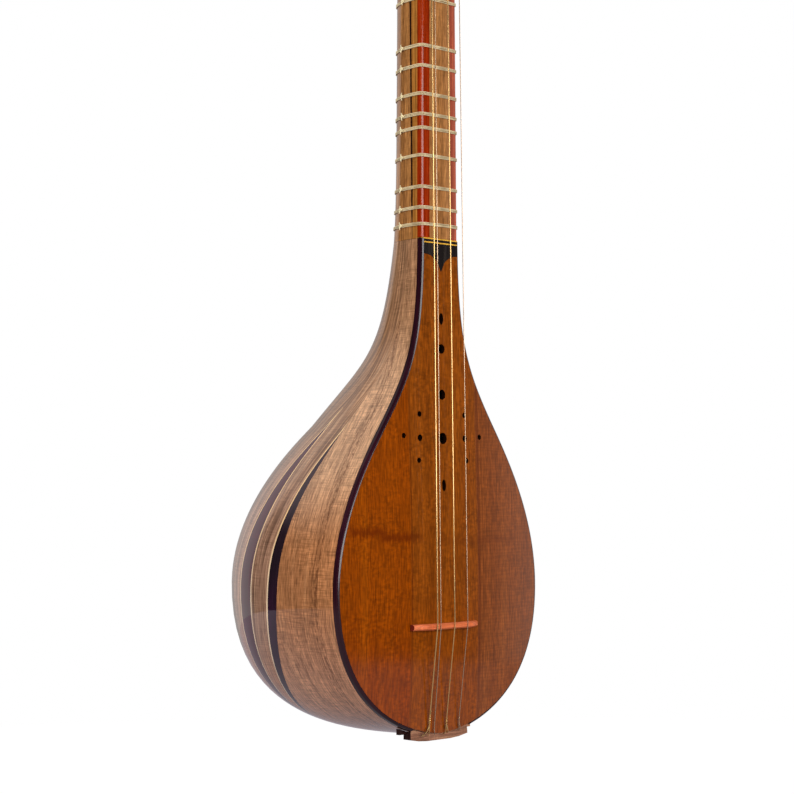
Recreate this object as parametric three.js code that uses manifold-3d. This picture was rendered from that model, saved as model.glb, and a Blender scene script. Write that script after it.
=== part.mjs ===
// A setar: a long necked lute with a ribbed bowl, tied gut frets that slide, and four strings.
// Millimetres. X runs across the soundboard, Y from the strings back into the bowl, Z up the neck.
// The pieces are laid out from the tail, and the whole is then lowered so that the origin is the
// place above the nut where a hanger holds the neck.
import * as THREE from 'three';
import { mergeVertices } from 'three/addons/utils/BufferGeometryUtils.js';
import Module from 'manifold-3d';

const wasm = await Module();
wasm.setup();

// Driving dimensions
const boardLength = 262;
const boardHalfWidth = 77.5;
const bowlDepth = 141.9;
const stringLength = 665;
const neckShare = 0.693;
const jointHalfWidth = 14.3;
const jointDepth = 31.7;
const nutHalfWidth = 12;
const nutDepth = 25.3;
const headLength = 112;
const hangerRise = 8;

// Walls and clearances
const ribThickness = 3;
const boardThickness = 2.5;
const boardDomeHeight = 2.7;
const glueLine = 0.15;
const seatGap = 0.3;
const cutOverrun = 4;

// Heights that follow from the driving dimensions
const neckLength = neckShare * stringLength;
const nutHeight = boardLength + neckLength;
const bridgeHeight = nutHeight - stringLength;
const hangerHeight = nutHeight + hangerRise;

// Curve parameters: 0 is the tail, 1 the widest place, 2 the waist and 3 the neck joint
const tailStationShare = 0;
const waistStationShare = 2;
const jointStationShare = 3;
const poleStationShare = 0.42;
const flareStationShare = 1.05;

// Colours and finishes
const walnut = { color: 0x9a6038, roughness: 0.35 };
const paleWalnut = { color: 0xa87048, roughness: 0.35 };
const darkWood = { color: 0x21171d, roughness: 0.25 };
const bindingWood = { color: 0x23101c, roughness: 0.2 };
const boardWood = { color: 0x86400f, roughness: 0.4 };
const boardEdgeWood = { color: 0x7c3408, roughness: 0.4 };
const padauk = { color: 0x96280a, roughness: 0.35 };
const blackInlay = { color: 0x26211f, roughness: 0.4 };
const yellowInlay = { color: 0xe0a83c, roughness: 0.4 };
const bridgeWood = { color: 0xcd6946, roughness: 0.5 };
const holderWood = { color: 0xa5805a, roughness: 0.45 };
const bone = { color: 0xe6dcc4, roughness: 0.4 };
const gut = { color: 0xb5a58a, roughness: 0.5 };
const spruce = { color: 0xc8a678, roughness: 0.7 };
const brassWire = { color: 0xe0b060, roughness: 0.25, metalness: 1 };
const steelWire = { color: 0xc8c8c8, roughness: 0.2, metalness: 1 };

const setar = new THREE.Group();
setar.position.set(0, 0, -hangerHeight);

function addPiece(name, geometry, finish) {
  const mesh = new THREE.Mesh(geometry, new THREE.MeshStandardMaterial(finish));
  mesh.name = name;
  setar.add(mesh);
}

// Closed bodies

// Six times the volume that a list of triangles encloses.
function signedVolume(positions, index) {
  const a = new THREE.Vector3();
  const b = new THREE.Vector3();
  const c = new THREE.Vector3();
  let total = 0;
  for (let i = 0; i < index.length; i += 3) {
    a.fromBufferAttribute(positions, index[i]);
    b.fromBufferAttribute(positions, index[i + 1]);
    c.fromBufferAttribute(positions, index[i + 2]);
    total += a.dot(b.cross(c));
  }
  return total;
}

// Joins triangles into one body, drops those that collapse where rings meet in a point,
// and turns the faces outwards.
function closedBody(triangles) {
  const loose = new THREE.BufferGeometry().setFromPoints(triangles.flat());
  const body = mergeVertices(loose);
  const whole = [];
  for (let i = 0; i < body.index.count; i += 3) {
    const corners = [body.index.getX(i), body.index.getX(i + 1), body.index.getX(i + 2)];
    if (new Set(corners).size === 3) whole.push(...corners);
  }
  if (signedVolume(body.attributes.position, whole) < 0) whole.reverse();
  body.setIndex(whole);
  body.computeVertexNormals();
  return body;
}

// The two triangles of a four-sided face, always split along the same diagonal.
function quad(a, b, c, d) {
  return [[a, b, c], [a, c, d]];
}

// A shell between two grids of points: rows run along the shell and columns across it.
function shellBody(outer, inner) {
  const triangles = [];
  const lastRow = outer.length - 1;
  const lastColumn = outer[0].length - 1;
  for (let row = 0; row < lastRow; row += 1) {
    const up = row + 1;
    for (let column = 0; column < lastColumn; column += 1) {
      const side = column + 1;
      triangles.push(...quad(outer[row][column], outer[row][side], outer[up][side], outer[up][column]));
      triangles.push(...quad(inner[row][column], inner[up][column], inner[up][side], inner[row][side]));
    }
    triangles.push(...quad(outer[row][0], outer[up][0], inner[up][0], inner[row][0]));
    const near = [outer[row][lastColumn], inner[row][lastColumn]];
    const far = [outer[up][lastColumn], inner[up][lastColumn]];
    triangles.push([near[0], far[1], far[0]], [near[0], near[1], far[1]]);
  }
  for (let column = 0; column < lastColumn; column += 1) {
    const side = column + 1;
    triangles.push(...quad(outer[0][column], inner[0][column], inner[0][side], outer[0][side]));
    const top = [outer[lastRow], inner[lastRow]];
    triangles.push(...quad(top[0][column], top[0][side], top[1][side], top[1][column]));
  }
  return closedBody(triangles);
}

// A body through closed rings of points. The flat outlines shape the two end caps.
function loftBody(rings, firstOutline, lastOutline) {
  const triangles = [];
  const count = rings[0].length;
  for (let ring = 0; ring < rings.length - 1; ring += 1) {
    for (let i = 0; i < count; i += 1) {
      const next = (i + 1) % count;
      triangles.push(...quad(rings[ring][i], rings[ring][next], rings[ring + 1][next], rings[ring + 1][i]));
    }
  }
  const last = rings.length - 1;
  const turn = THREE.ShapeUtils.isClockWise(firstOutline) ? -1 : 1;
  for (const [a, b, c] of THREE.ShapeUtils.triangulateShape(firstOutline, [])) {
    const corners = [rings[0][a], rings[0][b], rings[0][c]];
    triangles.push(turn > 0 ? corners.reverse() : corners);
  }
  for (const [a, b, c] of THREE.ShapeUtils.triangulateShape(lastOutline, [])) {
    const corners = [rings[last][a], rings[last][b], rings[last][c]];
    triangles.push(turn > 0 ? corners : corners.reverse());
  }
  return closedBody(triangles);
}

// Joining and cutting

function trianglesOf(geometry) {
  const points = (geometry.index ? geometry.toNonIndexed() : geometry).attributes.position;
  const triangles = [];
  for (let i = 0; i < points.count; i += 3) {
    triangles.push([0, 1, 2].map((k) => new THREE.Vector3().fromBufferAttribute(points, i + k)));
  }
  return triangles;
}

function toSolid(geometry) {
  const body = closedBody(trianglesOf(geometry));
  return new wasm.Manifold(new wasm.Mesh({
    numProp: 3,
    vertProperties: new Float32Array(body.attributes.position.array),
    triVerts: new Uint32Array(body.index.array),
  }));
}

function fromSolid(solid) {
  const mesh = solid.getMesh();
  const geometry = new THREE.BufferGeometry();
  geometry.setAttribute('position', new THREE.BufferAttribute(mesh.vertProperties, mesh.numProp));
  geometry.setIndex(new THREE.BufferAttribute(mesh.triVerts, 1));
  geometry.computeVertexNormals();
  return geometry;
}

function cutFrom(geometry, ...tools) {
  return fromSolid(tools.reduce((solid, tool) => solid.subtract(toSolid(tool)), toSolid(geometry)));
}

function joined(...geometries) {
  return fromSolid(geometries.map(toSolid).reduce((solid, next) => solid.add(next)));
}

function common(geometry, other) {
  return fromSolid(toSolid(geometry).intersect(toSolid(other)));
}

// The same geometry on the other side of the centre plane.
function mirrored(geometry) {
  const flip = (point) => point.setX(-point.x);
  return closedBody(trianglesOf(geometry).map((corners) => corners.map(flip)));
}

function block(lowX, highX, lowY, highY, lowZ, highZ) {
  const box = new THREE.BoxGeometry(highX - lowX, highY - lowY, highZ - lowZ);
  return box.translate((lowX + highX) / 2, (lowY + highY) / 2, (lowZ + highZ) / 2);
}

// A cylinder along Y, from the front of the soundboard through to behind it.
function drill(x, z, radiusX, radiusZ, lowY, highY, sides) {
  const rod = new THREE.CylinderGeometry(1, 1, highY - lowY, sides);
  return rod.scale(radiusX, 1, radiusZ).translate(x, (lowY + highY) / 2, z);
}

// A flat outline in X and Z, made solid between two depths.
function plate(points, frontY, backY) {
  const shape = new THREE.Shape(points.map(([x, z]) => new THREE.Vector2(x, z)));
  const slab = new THREE.ExtrudeGeometry(shape, { depth: backY - frontY, bevelEnabled: false });
  return slab.rotateX(Math.PI / 2).translate(0, backY, 0);
}

// Both halves of an outline given from its left end to its middle.
function bothSides(points) {
  return [...points, ...points.slice(0, -1).reverse().map(([x, z]) => [-x, z])];
}

// The bowl's shape

// A profile is three cubic curves: tail to widest place, to the waist, and to the neck joint.
// Its x is a half width or a depth and its y is the height. Shares are of the full reach or of
// the board's length.
function profile(reach, jointReach, shares) {
  const lean = THREE.MathUtils.degToRad(shares.waistLean);
  const alongWaist = new THREE.Vector2(-Math.sin(lean), Math.cos(lean));
  const alongJoint = new THREE.Vector2(shares.jointSlope, -1);
  const tail = new THREE.Vector2(0, 0);
  const widest = new THREE.Vector2(reach, shares.widestHeight * boardLength);
  const waist = new THREE.Vector2(shares.waist * reach, shares.waistHeight * boardLength);
  const joint = new THREE.Vector2(jointReach, boardLength);
  const handle = (from, along, share) => from.clone().addScaledVector(along, share * boardLength);
  const up = new THREE.Vector2(0, 1);
  return [
    new THREE.CubicBezierCurve(
      tail,
      new THREE.Vector2(shares.tail * reach, 0),
      handle(widest, up, -shares.belowWidest),
      widest,
    ),
    new THREE.CubicBezierCurve(
      widest,
      handle(widest, up, shares.aboveWidest),
      handle(waist, alongWaist, -shares.belowWaist),
      waist,
    ),
    new THREE.CubicBezierCurve(
      waist,
      handle(waist, alongWaist, shares.aboveWaist),
      handle(joint, alongJoint, shares.belowJoint),
      joint,
    ),
  ];
}

const rimShares = {
  tail: 0.083,
  widestHeight: 0.293,
  belowWidest: 0.273,
  aboveWidest: 0.151,
  waist: 0.531,
  waistHeight: 0.6335,
  waistLean: 34.7,
  belowWaist: 0.0758,
  aboveWaist: 0.1294,
  belowJoint: 0.2035,
  jointSlope: 0.01,
};
const backShares = {
  tail: 0.3008,
  widestHeight: 0.2955,
  belowWidest: 0.3545,
  aboveWidest: 0.178,
  waist: 0.623,
  waistHeight: 0.6276,
  waistLean: 44.2,
  belowWaist: 0.0298,
  aboveWaist: 0.1979,
  belowJoint: 0.2413,
  jointSlope: 0.16,
};
const rim = profile(boardHalfWidth, jointHalfWidth, rimShares);
const back = profile(bowlDepth, jointDepth, backShares);

// A place on a profile, moved inwards by an inset.
function onProfile(curves, station, inset) {
  const part = Math.min(Math.floor(station), curves.length - 1);
  const point = curves[part].getPoint(station - part);
  const along = curves[part].getTangent(station - part);
  return point.addScaledVector(new THREE.Vector2(-along.y, along.x), inset);
}

// A point of the bowl: the angle runs from the left rim, round the back, to the right rim.
function onBowl(station, angle, inset) {
  const side = onProfile(rim, station, inset);
  const depth = onProfile(back, station, inset);
  const across = Math.cos(angle);
  const inwards = Math.sin(angle);
  const height = side.y * across * across + depth.y * inwards * inwards;
  return new THREE.Vector3(-side.x * across, depth.x * inwards, height);
}

// The angle at which the bowl lies a given distance behind the rim.
function angleBehindRim(station, distance, inset) {
  return Math.asin(distance / onProfile(back, station, inset).x);
}

function spread(from, to, steps) {
  return Array.from({ length: steps + 1 }, (_, i) => from + ((to - from) * i) / steps);
}

// The station between two others at which the outline, moved inwards, has a given half width.
function stationOfWidth(halfWidth, inset, low, high) {
  let [from, to] = [low, high];
  const rising = onProfile(rim, high, inset).x > onProfile(rim, low, inset).x;
  for (let halving = 0; halving < 40; halving += 1) {
    const middle = (from + to) / 2;
    if ((onProfile(rim, middle, inset).x < halfWidth) === rising) from = middle;
    else to = middle;
  }
  return (from + to) / 2;
}

// A closed body of the bowl's form, from its flat front to its back, moved inwards by an inset.
function bowlVolume(stations, inset, angleSteps) {
  const rings = stations.map((station) => (
    spread(0, Math.PI, angleSteps).map((angle) => onBowl(station, angle, inset))
  ));
  const flat = (ring) => ring.map((point) => new THREE.Vector2(point.x, point.y));
  return loftBody(rings, flat(rings[1]), flat(rings[rings.length - 1]));
}

// Ribs

const stationShares = [
  0.06, 0.12, 0.2, 0.3, 0.36, 0.42, 0.48, 0.56, 0.66, 0.76, 0.88, 1, 1.12, 1.26, 1.42, 1.58, 1.75,
  1.9, 2, 2.1, 2.25, 2.45, 2.7, 3,
];
const frontTipShare = 1.9;
const backTipShare = 2;
const tipRunOnShare = 0.1;

// Angles behind the rim, in degrees at the widest place. A dark rib is edged with light lines.
const darkFrontAngle = 20.4;
const darkFrontSpanAngle = 4;
const darkBackAngle = 33.3;
const darkBackSpanAngle = 7.3;
const lineAngle = 0.5;
const backSeamAngle = 68;

// A dark rib keeps its width below the widest place and narrows above it until its light lines
// meet at a tip, and then they run on until they close.
function darkSpan(station, tip, span, edging) {
  const narrowing = Math.max(0, 1 - Math.max(0, (station - 1) / (tip - 1)) ** 2);
  const closing = Math.min(1, Math.max(0, (tip + tipRunOnShare - station) / tipRunOnShare));
  return span * narrowing + edging * closing;
}

// Below the widest place the ribs curve round to meet at one place under the bowl.
function ribAngle(degrees, station) {
  const below = Math.max(0, (flareStationShare - station) / (flareStationShare - poleStationShare));
  const opening = Math.sqrt(Math.max(0, 1 - below * below));
  return THREE.MathUtils.degToRad(90 - (90 - degrees) * opening);
}

// The seams between the ribs of one side, from the side rib to the back seam.
const seams = [
  () => darkFrontAngle,
  (station) => darkFrontAngle + darkSpan(station, frontTipShare, darkFrontSpanAngle, lineAngle),
  () => darkBackAngle,
  (station) => darkBackAngle + darkSpan(station, backTipShare, darkBackSpanAngle, 2 * lineAngle),
  () => backSeamAngle,
].map((degreesAt) => (station) => ribAngle(degreesAt(station), station));

// A rib between two angles that depend on the station and on the surface's inset.
function rib(stations, fromAngle, toAngle, steps) {
  const grid = (inset) => stations.map((station) => (
    spread(fromAngle(station, inset), toAngle(station, inset), steps)
      .map((angle) => onBowl(station, angle, inset))
  ));
  return shellBody(grid(0), grid(ribThickness));
}

function ribBetween(seam, lastStation, steps) {
  const stations = stationShares.filter((station) => station >= poleStationShare && station <= lastStation);
  return rib(stations, seams[seam], seams[seam + 1], steps);
}

const bindingThickness = 1.2;
const bindingDepth = 4;
const bindingLedge = 2.9;
const holderHalfWidth = 22.5;

const sideRib = rib(
  stationShares,
  (station, inset) => angleBehindRim(station, bindingDepth + glueLine, inset),
  (station) => (station <= poleStationShare ? Math.PI / 2 : seams[0](station)),
  5,
);
const pairedRibs = {
  side: { geometry: sideRib, finish: walnut },
  dark_front: { geometry: ribBetween(0, frontTipShare + tipRunOnShare, 1), finish: darkWood },
  narrow: { geometry: ribBetween(1, jointStationShare, 2), finish: walnut },
  dark_back: { geometry: ribBetween(2, backTipShare + tipRunOnShare, 2), finish: darkWood },
  back: { geometry: ribBetween(3, jointStationShare, 4), finish: walnut },
};
for (const [name, { geometry, finish }] of Object.entries(pairedRibs)) {
  addPiece(`rib_${name}_left`, geometry, finish);
  addPiece(`rib_${name}_right`, mirrored(geometry), finish);
}
const centreRib = rib(
  stationShares.filter((station) => station >= poleStationShare),
  (station) => seams[4](station),
  (station) => Math.PI - seams[4](station),
  6,
);
addPiece('rib_back_centre', centreRib, walnut);

// Binding: a strip along each rim with a ledge under the soundboard

function bindingStrip() {
  const section = [
    [0, 0],
    [0, bindingDepth],
    [bindingLedge, bindingDepth],
    [bindingLedge, boardThickness + glueLine],
    [bindingThickness, boardThickness + glueLine],
    [bindingThickness, 0],
  ];
  const start = stationOfWidth(holderHalfWidth + seatGap, 0, 0, 1);
  const stations = [start, ...stationShares.filter((station) => station > start)];
  const rings = stations.map((station) => (
    section.map(([inset, y]) => {
      const place = onProfile(rim, station, inset);
      return new THREE.Vector3(-place.x, y, place.y);
    })
  ));
  const outline = section.map(([inset, y]) => new THREE.Vector2(inset, y));
  return loftBody(rings, outline, outline);
}

const binding = bindingStrip();
addPiece('binding_left', binding, bindingWood);
addPiece('binding_right', mirrored(binding), bindingWood);

// Soundboard: three panels, slightly arched, with sound holes

const panelHalfWidth = 26;
const boardInset = bindingThickness + glueLine;

function boardFront(x, halfWidth) {
  return (-boardDomeHeight * (halfWidth * halfWidth - x * x)) / (boardHalfWidth * boardHalfWidth);
}

const lowPanelShare = stationOfWidth(panelHalfWidth, boardInset, tailStationShare, 1);
const highPanelShare = stationOfWidth(panelHalfWidth, boardInset, 1, jointStationShare);

function panel(stations, fromX, toX, steps) {
  const grid = (behind) => stations.map((station) => {
    const edge = onProfile(rim, station, boardInset);
    return spread(fromX(edge.x), toX(edge.x), steps).map((x) => (
      new THREE.Vector3(x, boardFront(x, edge.x) + behind, edge.y)
    ));
  });
  return shellBody(grid(0), grid(boardThickness));
}

const boardStations = [tailStationShare, ...stationShares, lowPanelShare, highPanelShare]
  .sort((a, b) => a - b);
const wingStations = boardStations
  .filter((station) => station >= lowPanelShare && station <= highPanelShare);

// Sound holes: across in shares of the middle panel's half width, and up and the two diameters in
// shares of the board's length
const holeShares = [
  { across: 0, up: 0.8393, wide: 0.0122, high: 0.0237 },
  { across: 0, up: 0.7782, wide: 0.0195, high: 0.0195 },
  { across: 0, up: 0.6855, wide: 0.0206, high: 0.0206 },
  { across: 0, up: 0.5969, wide: 0.0233, high: 0.0233 },
  { across: 0, up: 0.5023, wide: 0.0122, high: 0.0237 },
  { across: 0.673, up: 0.645, wide: 0.0115, high: 0.0115 },
  { across: 0.673, up: 0.5973, wide: 0.0134, high: 0.0134 },
  { across: 0.719, up: 0.5523, wide: 0.0111, high: 0.0111 },
];
const wingHoleShares = { across: 1.1385, up: 0.6011, wide: 0.0111, high: 0.0111 };

function soundHole(shares, side) {
  return drill(
    side * shares.across * panelHalfWidth,
    shares.up * boardLength,
    (shares.wide * boardLength) / 2,
    (shares.high * boardLength) / 2,
    -boardDomeHeight - cutOverrun,
    boardThickness + cutOverrun,
    12,
  );
}

// Black inlay with an ogee point, below a strip of two yellow lines with black between them

const purflingWidth = 2.8;
const inlayHeight = 5.6;
const inlayDrop = 9.2;
const inlayHalfWidth = jointHalfWidth - bindingThickness - glueLine;
const purflingTop = boardLength + purflingWidth / 6;
const purflingLow = purflingTop - purflingWidth;
const inlayLow = purflingLow - inlayHeight;
const ogeeShares = [[1, 0], [0.77, 0.03], [0.55, 0.12], [0.35, 0.28], [0.2, 0.47], [0.1, 0.76], [0, 1]];

function ogee(halfWidth, drop) {
  return bothSides(ogeeShares.map(([across, down]) => [
    -across * halfWidth,
    inlayLow - drop - down * inlayDrop,
  ]));
}

const inlay = plate(
  [...ogee(inlayHalfWidth, 0), [inlayHalfWidth, purflingLow], [-inlayHalfWidth, purflingLow]],
  0,
  boardThickness,
);
const cutTop = boardLength + cutOverrun;
const boardCut = plate(
  [
    [-inlayHalfWidth - cutOverrun, inlayLow - glueLine],
    ...ogee(inlayHalfWidth, glueLine),
    [inlayHalfWidth + cutOverrun, inlayLow - glueLine],
    [inlayHalfWidth + cutOverrun, cutTop],
    [-inlayHalfWidth - cutOverrun, cutTop],
  ],
  -boardDomeHeight,
  boardThickness + cutOverrun,
);

const purfling = block(
  -inlayHalfWidth,
  inlayHalfWidth,
  0,
  boardThickness,
  purflingLow + glueLine,
  purflingTop,
);
addPiece('joint_inlay', inlay, blackInlay);
addPiece('joint_purfling', purfling, yellowInlay);

const centrePanel = panel(
  boardStations,
  (edge) => -Math.min(edge, panelHalfWidth),
  (edge) => Math.min(edge, panelHalfWidth),
  6,
);
const centreHoles = holeShares.flatMap((shares) => (
  shares.across ? [soundHole(shares, -1), soundHole(shares, 1)] : [soundHole(shares, 1)]
));
addPiece('soundboard_centre', cutFrom(centrePanel, boardCut, ...centreHoles), boardWood);
const leftWing = panel(wingStations, (edge) => -edge, () => -panelHalfWidth, 4);
addPiece('soundboard_left', cutFrom(leftWing, soundHole(wingHoleShares, -1)), boardEdgeWood);
addPiece('soundboard_right', cutFrom(mirrored(leftWing), soundHole(wingHoleShares, 1)), boardEdgeWood);

// Neck: a U section whose tenon fills the top of the bowl

const slabThickness = 3.6;
const neckFront = slabThickness + glueLine;
const flareDepth = 1.8;
const flareLength = 18;
const nutWidth = 3.2;
const nutRise = 1.5;
const neckEnd = nutHeight + nutWidth / 2 + glueLine;
const flareShares = [0, 0.35, 0.8, 1.5, 2.5, 4];
const neckSides = 12;

function neckHalfWidth(z) {
  return jointHalfWidth + ((nutHalfWidth - jointHalfWidth) * (z - boardLength)) / neckLength;
}

function neckDepth(z) {
  const slope = (nutDepth - jointDepth + flareDepth) / neckLength;
  const flare = flareDepth * Math.exp(-(z - boardLength) / flareLength);
  return jointDepth - flareDepth + slope * (z - boardLength) + flare;
}

// A U shaped section: flat at its front and round behind.
function neckSection(z, frontY, steps) {
  const halfWidth = neckHalfWidth(z);
  const depth = neckDepth(z);
  const start = Math.asin(frontY / depth);
  return spread(start, Math.PI - start, steps).map((angle, i) => {
    const side = i === 0 || i === steps ? Math.sign(-Math.cos(angle)) : -Math.cos(angle);
    return new THREE.Vector3(halfWidth * side, depth * Math.sin(angle), z);
  });
}

function flatten(ring) {
  return ring.map((point) => new THREE.Vector2(point.x, point.y));
}

function loftAlong(rings) {
  return loftBody(rings, flatten(rings[0]), flatten(rings[rings.length - 1]));
}

const tenonStationShares = [2.7, 2.8, 2.9, 3];
const tenonRunIn = 3;

function tenonRing(station, raise) {
  const inset = ribThickness + seatGap;
  const start = angleBehindRim(station, neckFront, inset);
  return spread(start, Math.PI - start, 12).map((angle) => {
    const place = onBowl(station, angle, inset);
    return place.setZ(place.z + raise);
  });
}

function tenon() {
  const rings = tenonStationShares.map((station) => tenonRing(station, 0));
  return loftAlong([...rings, tenonRing(jointStationShare, tenonRunIn)]);
}

const neckHeights = [
  ...flareShares.map((share) => boardLength + glueLine + share * flareLength),
  neckEnd,
];
const neckShaft = loftAlong(neckHeights.map((z) => neckSection(z, neckFront, neckSides)));
addPiece('neck', joined(neckShaft, tenon()), paleWalnut);

// Fingerboard: a walnut middle and two red edge strips

const edgeWidth = 5.8;
const cornerRadius = 1.2;
const cornerShare = 0.29;
const slabEnd = nutHeight - nutWidth / 2 - glueLine;

function slab(section) {
  return loftAlong([purflingTop + glueLine, slabEnd].map((z) => (
    section(neckHalfWidth(z)).map(([x, y]) => new THREE.Vector3(x, y, z))
  )));
}

const edgeStrip = slab((halfWidth) => [
  [-halfWidth + edgeWidth, 0],
  [-halfWidth + cornerRadius, 0],
  [-halfWidth + cornerRadius * cornerShare, cornerRadius * cornerShare],
  [-halfWidth, cornerRadius],
  [-halfWidth, slabThickness],
  [-halfWidth + edgeWidth, slabThickness],
]);
const middleStrip = slab((halfWidth) => [
  [-halfWidth + edgeWidth, 0],
  [-halfWidth + edgeWidth, slabThickness],
  [halfWidth - edgeWidth, slabThickness],
  [halfWidth - edgeWidth, 0],
]);
addPiece('fingerboard_centre', middleStrip, walnut);
addPiece('fingerboard_edge_left', edgeStrip, padauk);
addPiece('fingerboard_edge_right', mirrored(edgeStrip), padauk);

// Nut

const nutFrontShare = 0.5;

function nut() {
  const shape = new THREE.Shape([
    new THREE.Vector2(slabThickness, -nutWidth / 2),
    new THREE.Vector2(0, -nutWidth / 2),
    new THREE.Vector2(-nutRise, (-nutWidth / 2) * nutFrontShare),
    new THREE.Vector2(-nutRise, (nutWidth / 2) * nutFrontShare),
    new THREE.Vector2(0, nutWidth / 2),
    new THREE.Vector2(slabThickness, nutWidth / 2),
  ]);
  const bar = new THREE.ExtrudeGeometry(shape, { depth: 2 * nutHalfWidth, bevelEnabled: false });
  return bar.applyMatrix4(new THREE.Matrix4().makeBasis(
    new THREE.Vector3(0, 1, 0),
    new THREE.Vector3(0, 0, 1),
    new THREE.Vector3(1, 0, 0),
  )).translate(-nutHalfWidth, 0, nutHeight);
}

addPiece('nut', nut(), bone);

// Tuning pegs: a tapered shaft, a collar and a flat knob. The peg points along +Z from its thin end.

const pegThinRadius = 3.1;
const pegThickRadius = 3.5;
const pegTail = 2;
const pegWindingLength = 11;
const collarRadius = 5;
const collarLength = 2.5;
const knobNeckRadius = 3;
const knobNeckLength = 5;
const knobHalfWidth = 10.5;
const knobHalfThickness = 3.8;
const knobHalfLength = 11;
const finialRadius = 2.4;
const roundSides = 14;

function peg(shaftLength) {
  const collarStart = shaftLength;
  const collarEnd = collarStart + collarLength;
  const knobStart = collarEnd + knobNeckLength;
  const knobMiddle = knobStart + knobHalfLength - finialRadius;
  const shaft = new THREE.LatheGeometry([
    new THREE.Vector2(0, 0),
    new THREE.Vector2(pegThinRadius, 0),
    new THREE.Vector2(pegThickRadius, collarStart),
    new THREE.Vector2(collarRadius, collarStart + collarLength / 3),
    new THREE.Vector2(collarRadius, collarEnd - collarLength / 3),
    new THREE.Vector2(knobNeckRadius, collarEnd),
    new THREE.Vector2(knobNeckRadius, knobMiddle),
    new THREE.Vector2(0, knobMiddle),
  ], roundSides).rotateX(Math.PI / 2);
  const knob = new THREE.SphereGeometry(1, roundSides, 10)
    .scale(knobHalfWidth, knobHalfThickness, knobHalfLength)
    .translate(0, 0, knobMiddle);
  const finial = new THREE.SphereGeometry(finialRadius, 10, 6)
    .translate(0, 0, knobMiddle + knobHalfLength + finialRadius / 2);
  return joined(shaft, knob, finial);
}

// Head: continues the neck behind the nut and carries the pegs

const headDrop = 2.5;
const headSwellShare = 1.12;
const headShares = [
  { up: 0, wide: 1, deep: 1, front: 0 },
  { up: 0.08, wide: 1.02, deep: 1, front: 0 },
  { up: 0.4, wide: 1.09, deep: 0.98, front: 0 },
  { up: 0.8, wide: headSwellShare, deep: 0.94, front: 0 },
  { up: 0.92, wide: 0.98, deep: 0.85, front: 0.06 },
  { up: 0.98, wide: 0.66, deep: 0.7, front: 0.18 },
  { up: 1, wide: 0.36, deep: 0.58, front: 0.3 },
];

function headBlock() {
  const depth = neckDepth(neckEnd);
  const halfWidth = neckHalfWidth(neckEnd);
  return loftAlong(headShares.map((shares) => {
    const front = headDrop + shares.front * depth;
    return spread(0, Math.PI, 14).map((angle) => new THREE.Vector3(
      -shares.wide * halfWidth * Math.cos(angle),
      front + (shares.deep * depth - front) * Math.sin(angle),
      neckEnd + shares.up * headLength,
    ));
  }));
}

// Pegs in front turn about lines along Y, and pegs at the left side about lines along X.
const frontPegShares = [{ up: 0.34, across: 0.46 }, { up: 0.68, across: -0.3 }];
const sidePegShares = [{ up: 0.5, deep: 0.5 }, { up: 0.84, deep: 0.5 }];
const pegHoleRadius = pegThickRadius + seatGap;

const frontPegs = frontPegShares.map((shares) => ({
  x: shares.across * nutHalfWidth,
  z: neckEnd + shares.up * headLength,
  start: nutDepth + pegTail,
  length: nutDepth + pegTail - headDrop + pegWindingLength + seatGap,
}));
const sidePegReach = headSwellShare * nutHalfWidth;
const sidePegs = sidePegShares.map((shares) => ({
  y: shares.deep * nutDepth,
  z: neckEnd + shares.up * headLength,
  start: sidePegReach + pegTail,
  length: 2 * sidePegReach + pegTail + pegWindingLength + seatGap,
}));

const frontHoles = frontPegs.map(({ x, z }) => (
  drill(x, z, pegHoleRadius, pegHoleRadius, -cutOverrun, nutDepth + cutOverrun, roundSides)
));
const sideHoles = sidePegs.map(({ y, z }) => {
  const rod = new THREE.CylinderGeometry(pegHoleRadius, pegHoleRadius, 4 * nutHalfWidth, roundSides);
  return rod.rotateZ(Math.PI / 2).translate(0, y, z);
});
addPiece('head', cutFrom(headBlock(), ...frontHoles, ...sideHoles), paleWalnut);
frontPegs.forEach(({ x, z, start, length }, i) => {
  addPiece(`peg_front_${i + 1}`, peg(length).rotateX(Math.PI / 2).translate(x, start, z), walnut);
});
sidePegs.forEach(({ y, z, start, length }, i) => {
  addPiece(`peg_side_${i + 1}`, peg(length).rotateY(-Math.PI / 2).translate(start, y, z), walnut);
});

// Tail block inside the bowl, and the string holder outside it

const blockHalfWidth = 15;
const blockBack = 30;
const blockTop = 20;
const innerStations = stationShares.filter((station) => station < waistStationShare);
const innerBowl = bowlVolume(innerStations, ribThickness + seatGap, 16);
addPiece(
  'tail_block',
  common(
    block(-blockHalfWidth, blockHalfWidth, boardThickness + seatGap, blockBack, -cutOverrun, blockTop),
    innerBowl,
  ),
  spruce,
);

const holderDrop = 2.4;
const holderUnderShares = [[1, 0.29], [0.7, 0.8], [0.4, 1], [0, 1]];
const holderFront = boardThickness + glueLine;
const holderBack = 7.1;
const holderRise = 6;
const stepHalfWidth = 27.5;
const stepFront = 5.2;
const stepBack = 7.5;
const stepLow = 2.1;

function stringHolder() {
  const bottom = bothSides(holderUnderShares.map(([across, down]) => [
    -across * holderHalfWidth,
    -down * holderDrop,
  ]));
  const faceStationShares = [0.33, 0.25, 0.17, 0.08, 0];
  const faceTop = bothSides(faceStationShares.map((station) => {
    const place = onProfile(rim, station, ribThickness);
    return [Math.min(holderHalfWidth, place.x), place.y];
  }));
  const face = plate([...bottom, ...faceTop], holderFront, bindingDepth);
  const lowBowl = bowlVolume([tailStationShare, ...innerStations], -seatGap, 20);
  const shoulders = [[holderHalfWidth, holderRise], [-holderHalfWidth, holderRise]];
  const body = cutFrom(plate([...bottom, ...shoulders], bindingDepth, holderBack), lowBowl);
  const step = cutFrom(
    block(-stepHalfWidth, stepHalfWidth, stepFront, stepBack, stepLow, holderRise),
    lowBowl,
  );
  return joined(face, body, step);
}

addPiece('string_holder', stringHolder(), holderWood);

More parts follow.
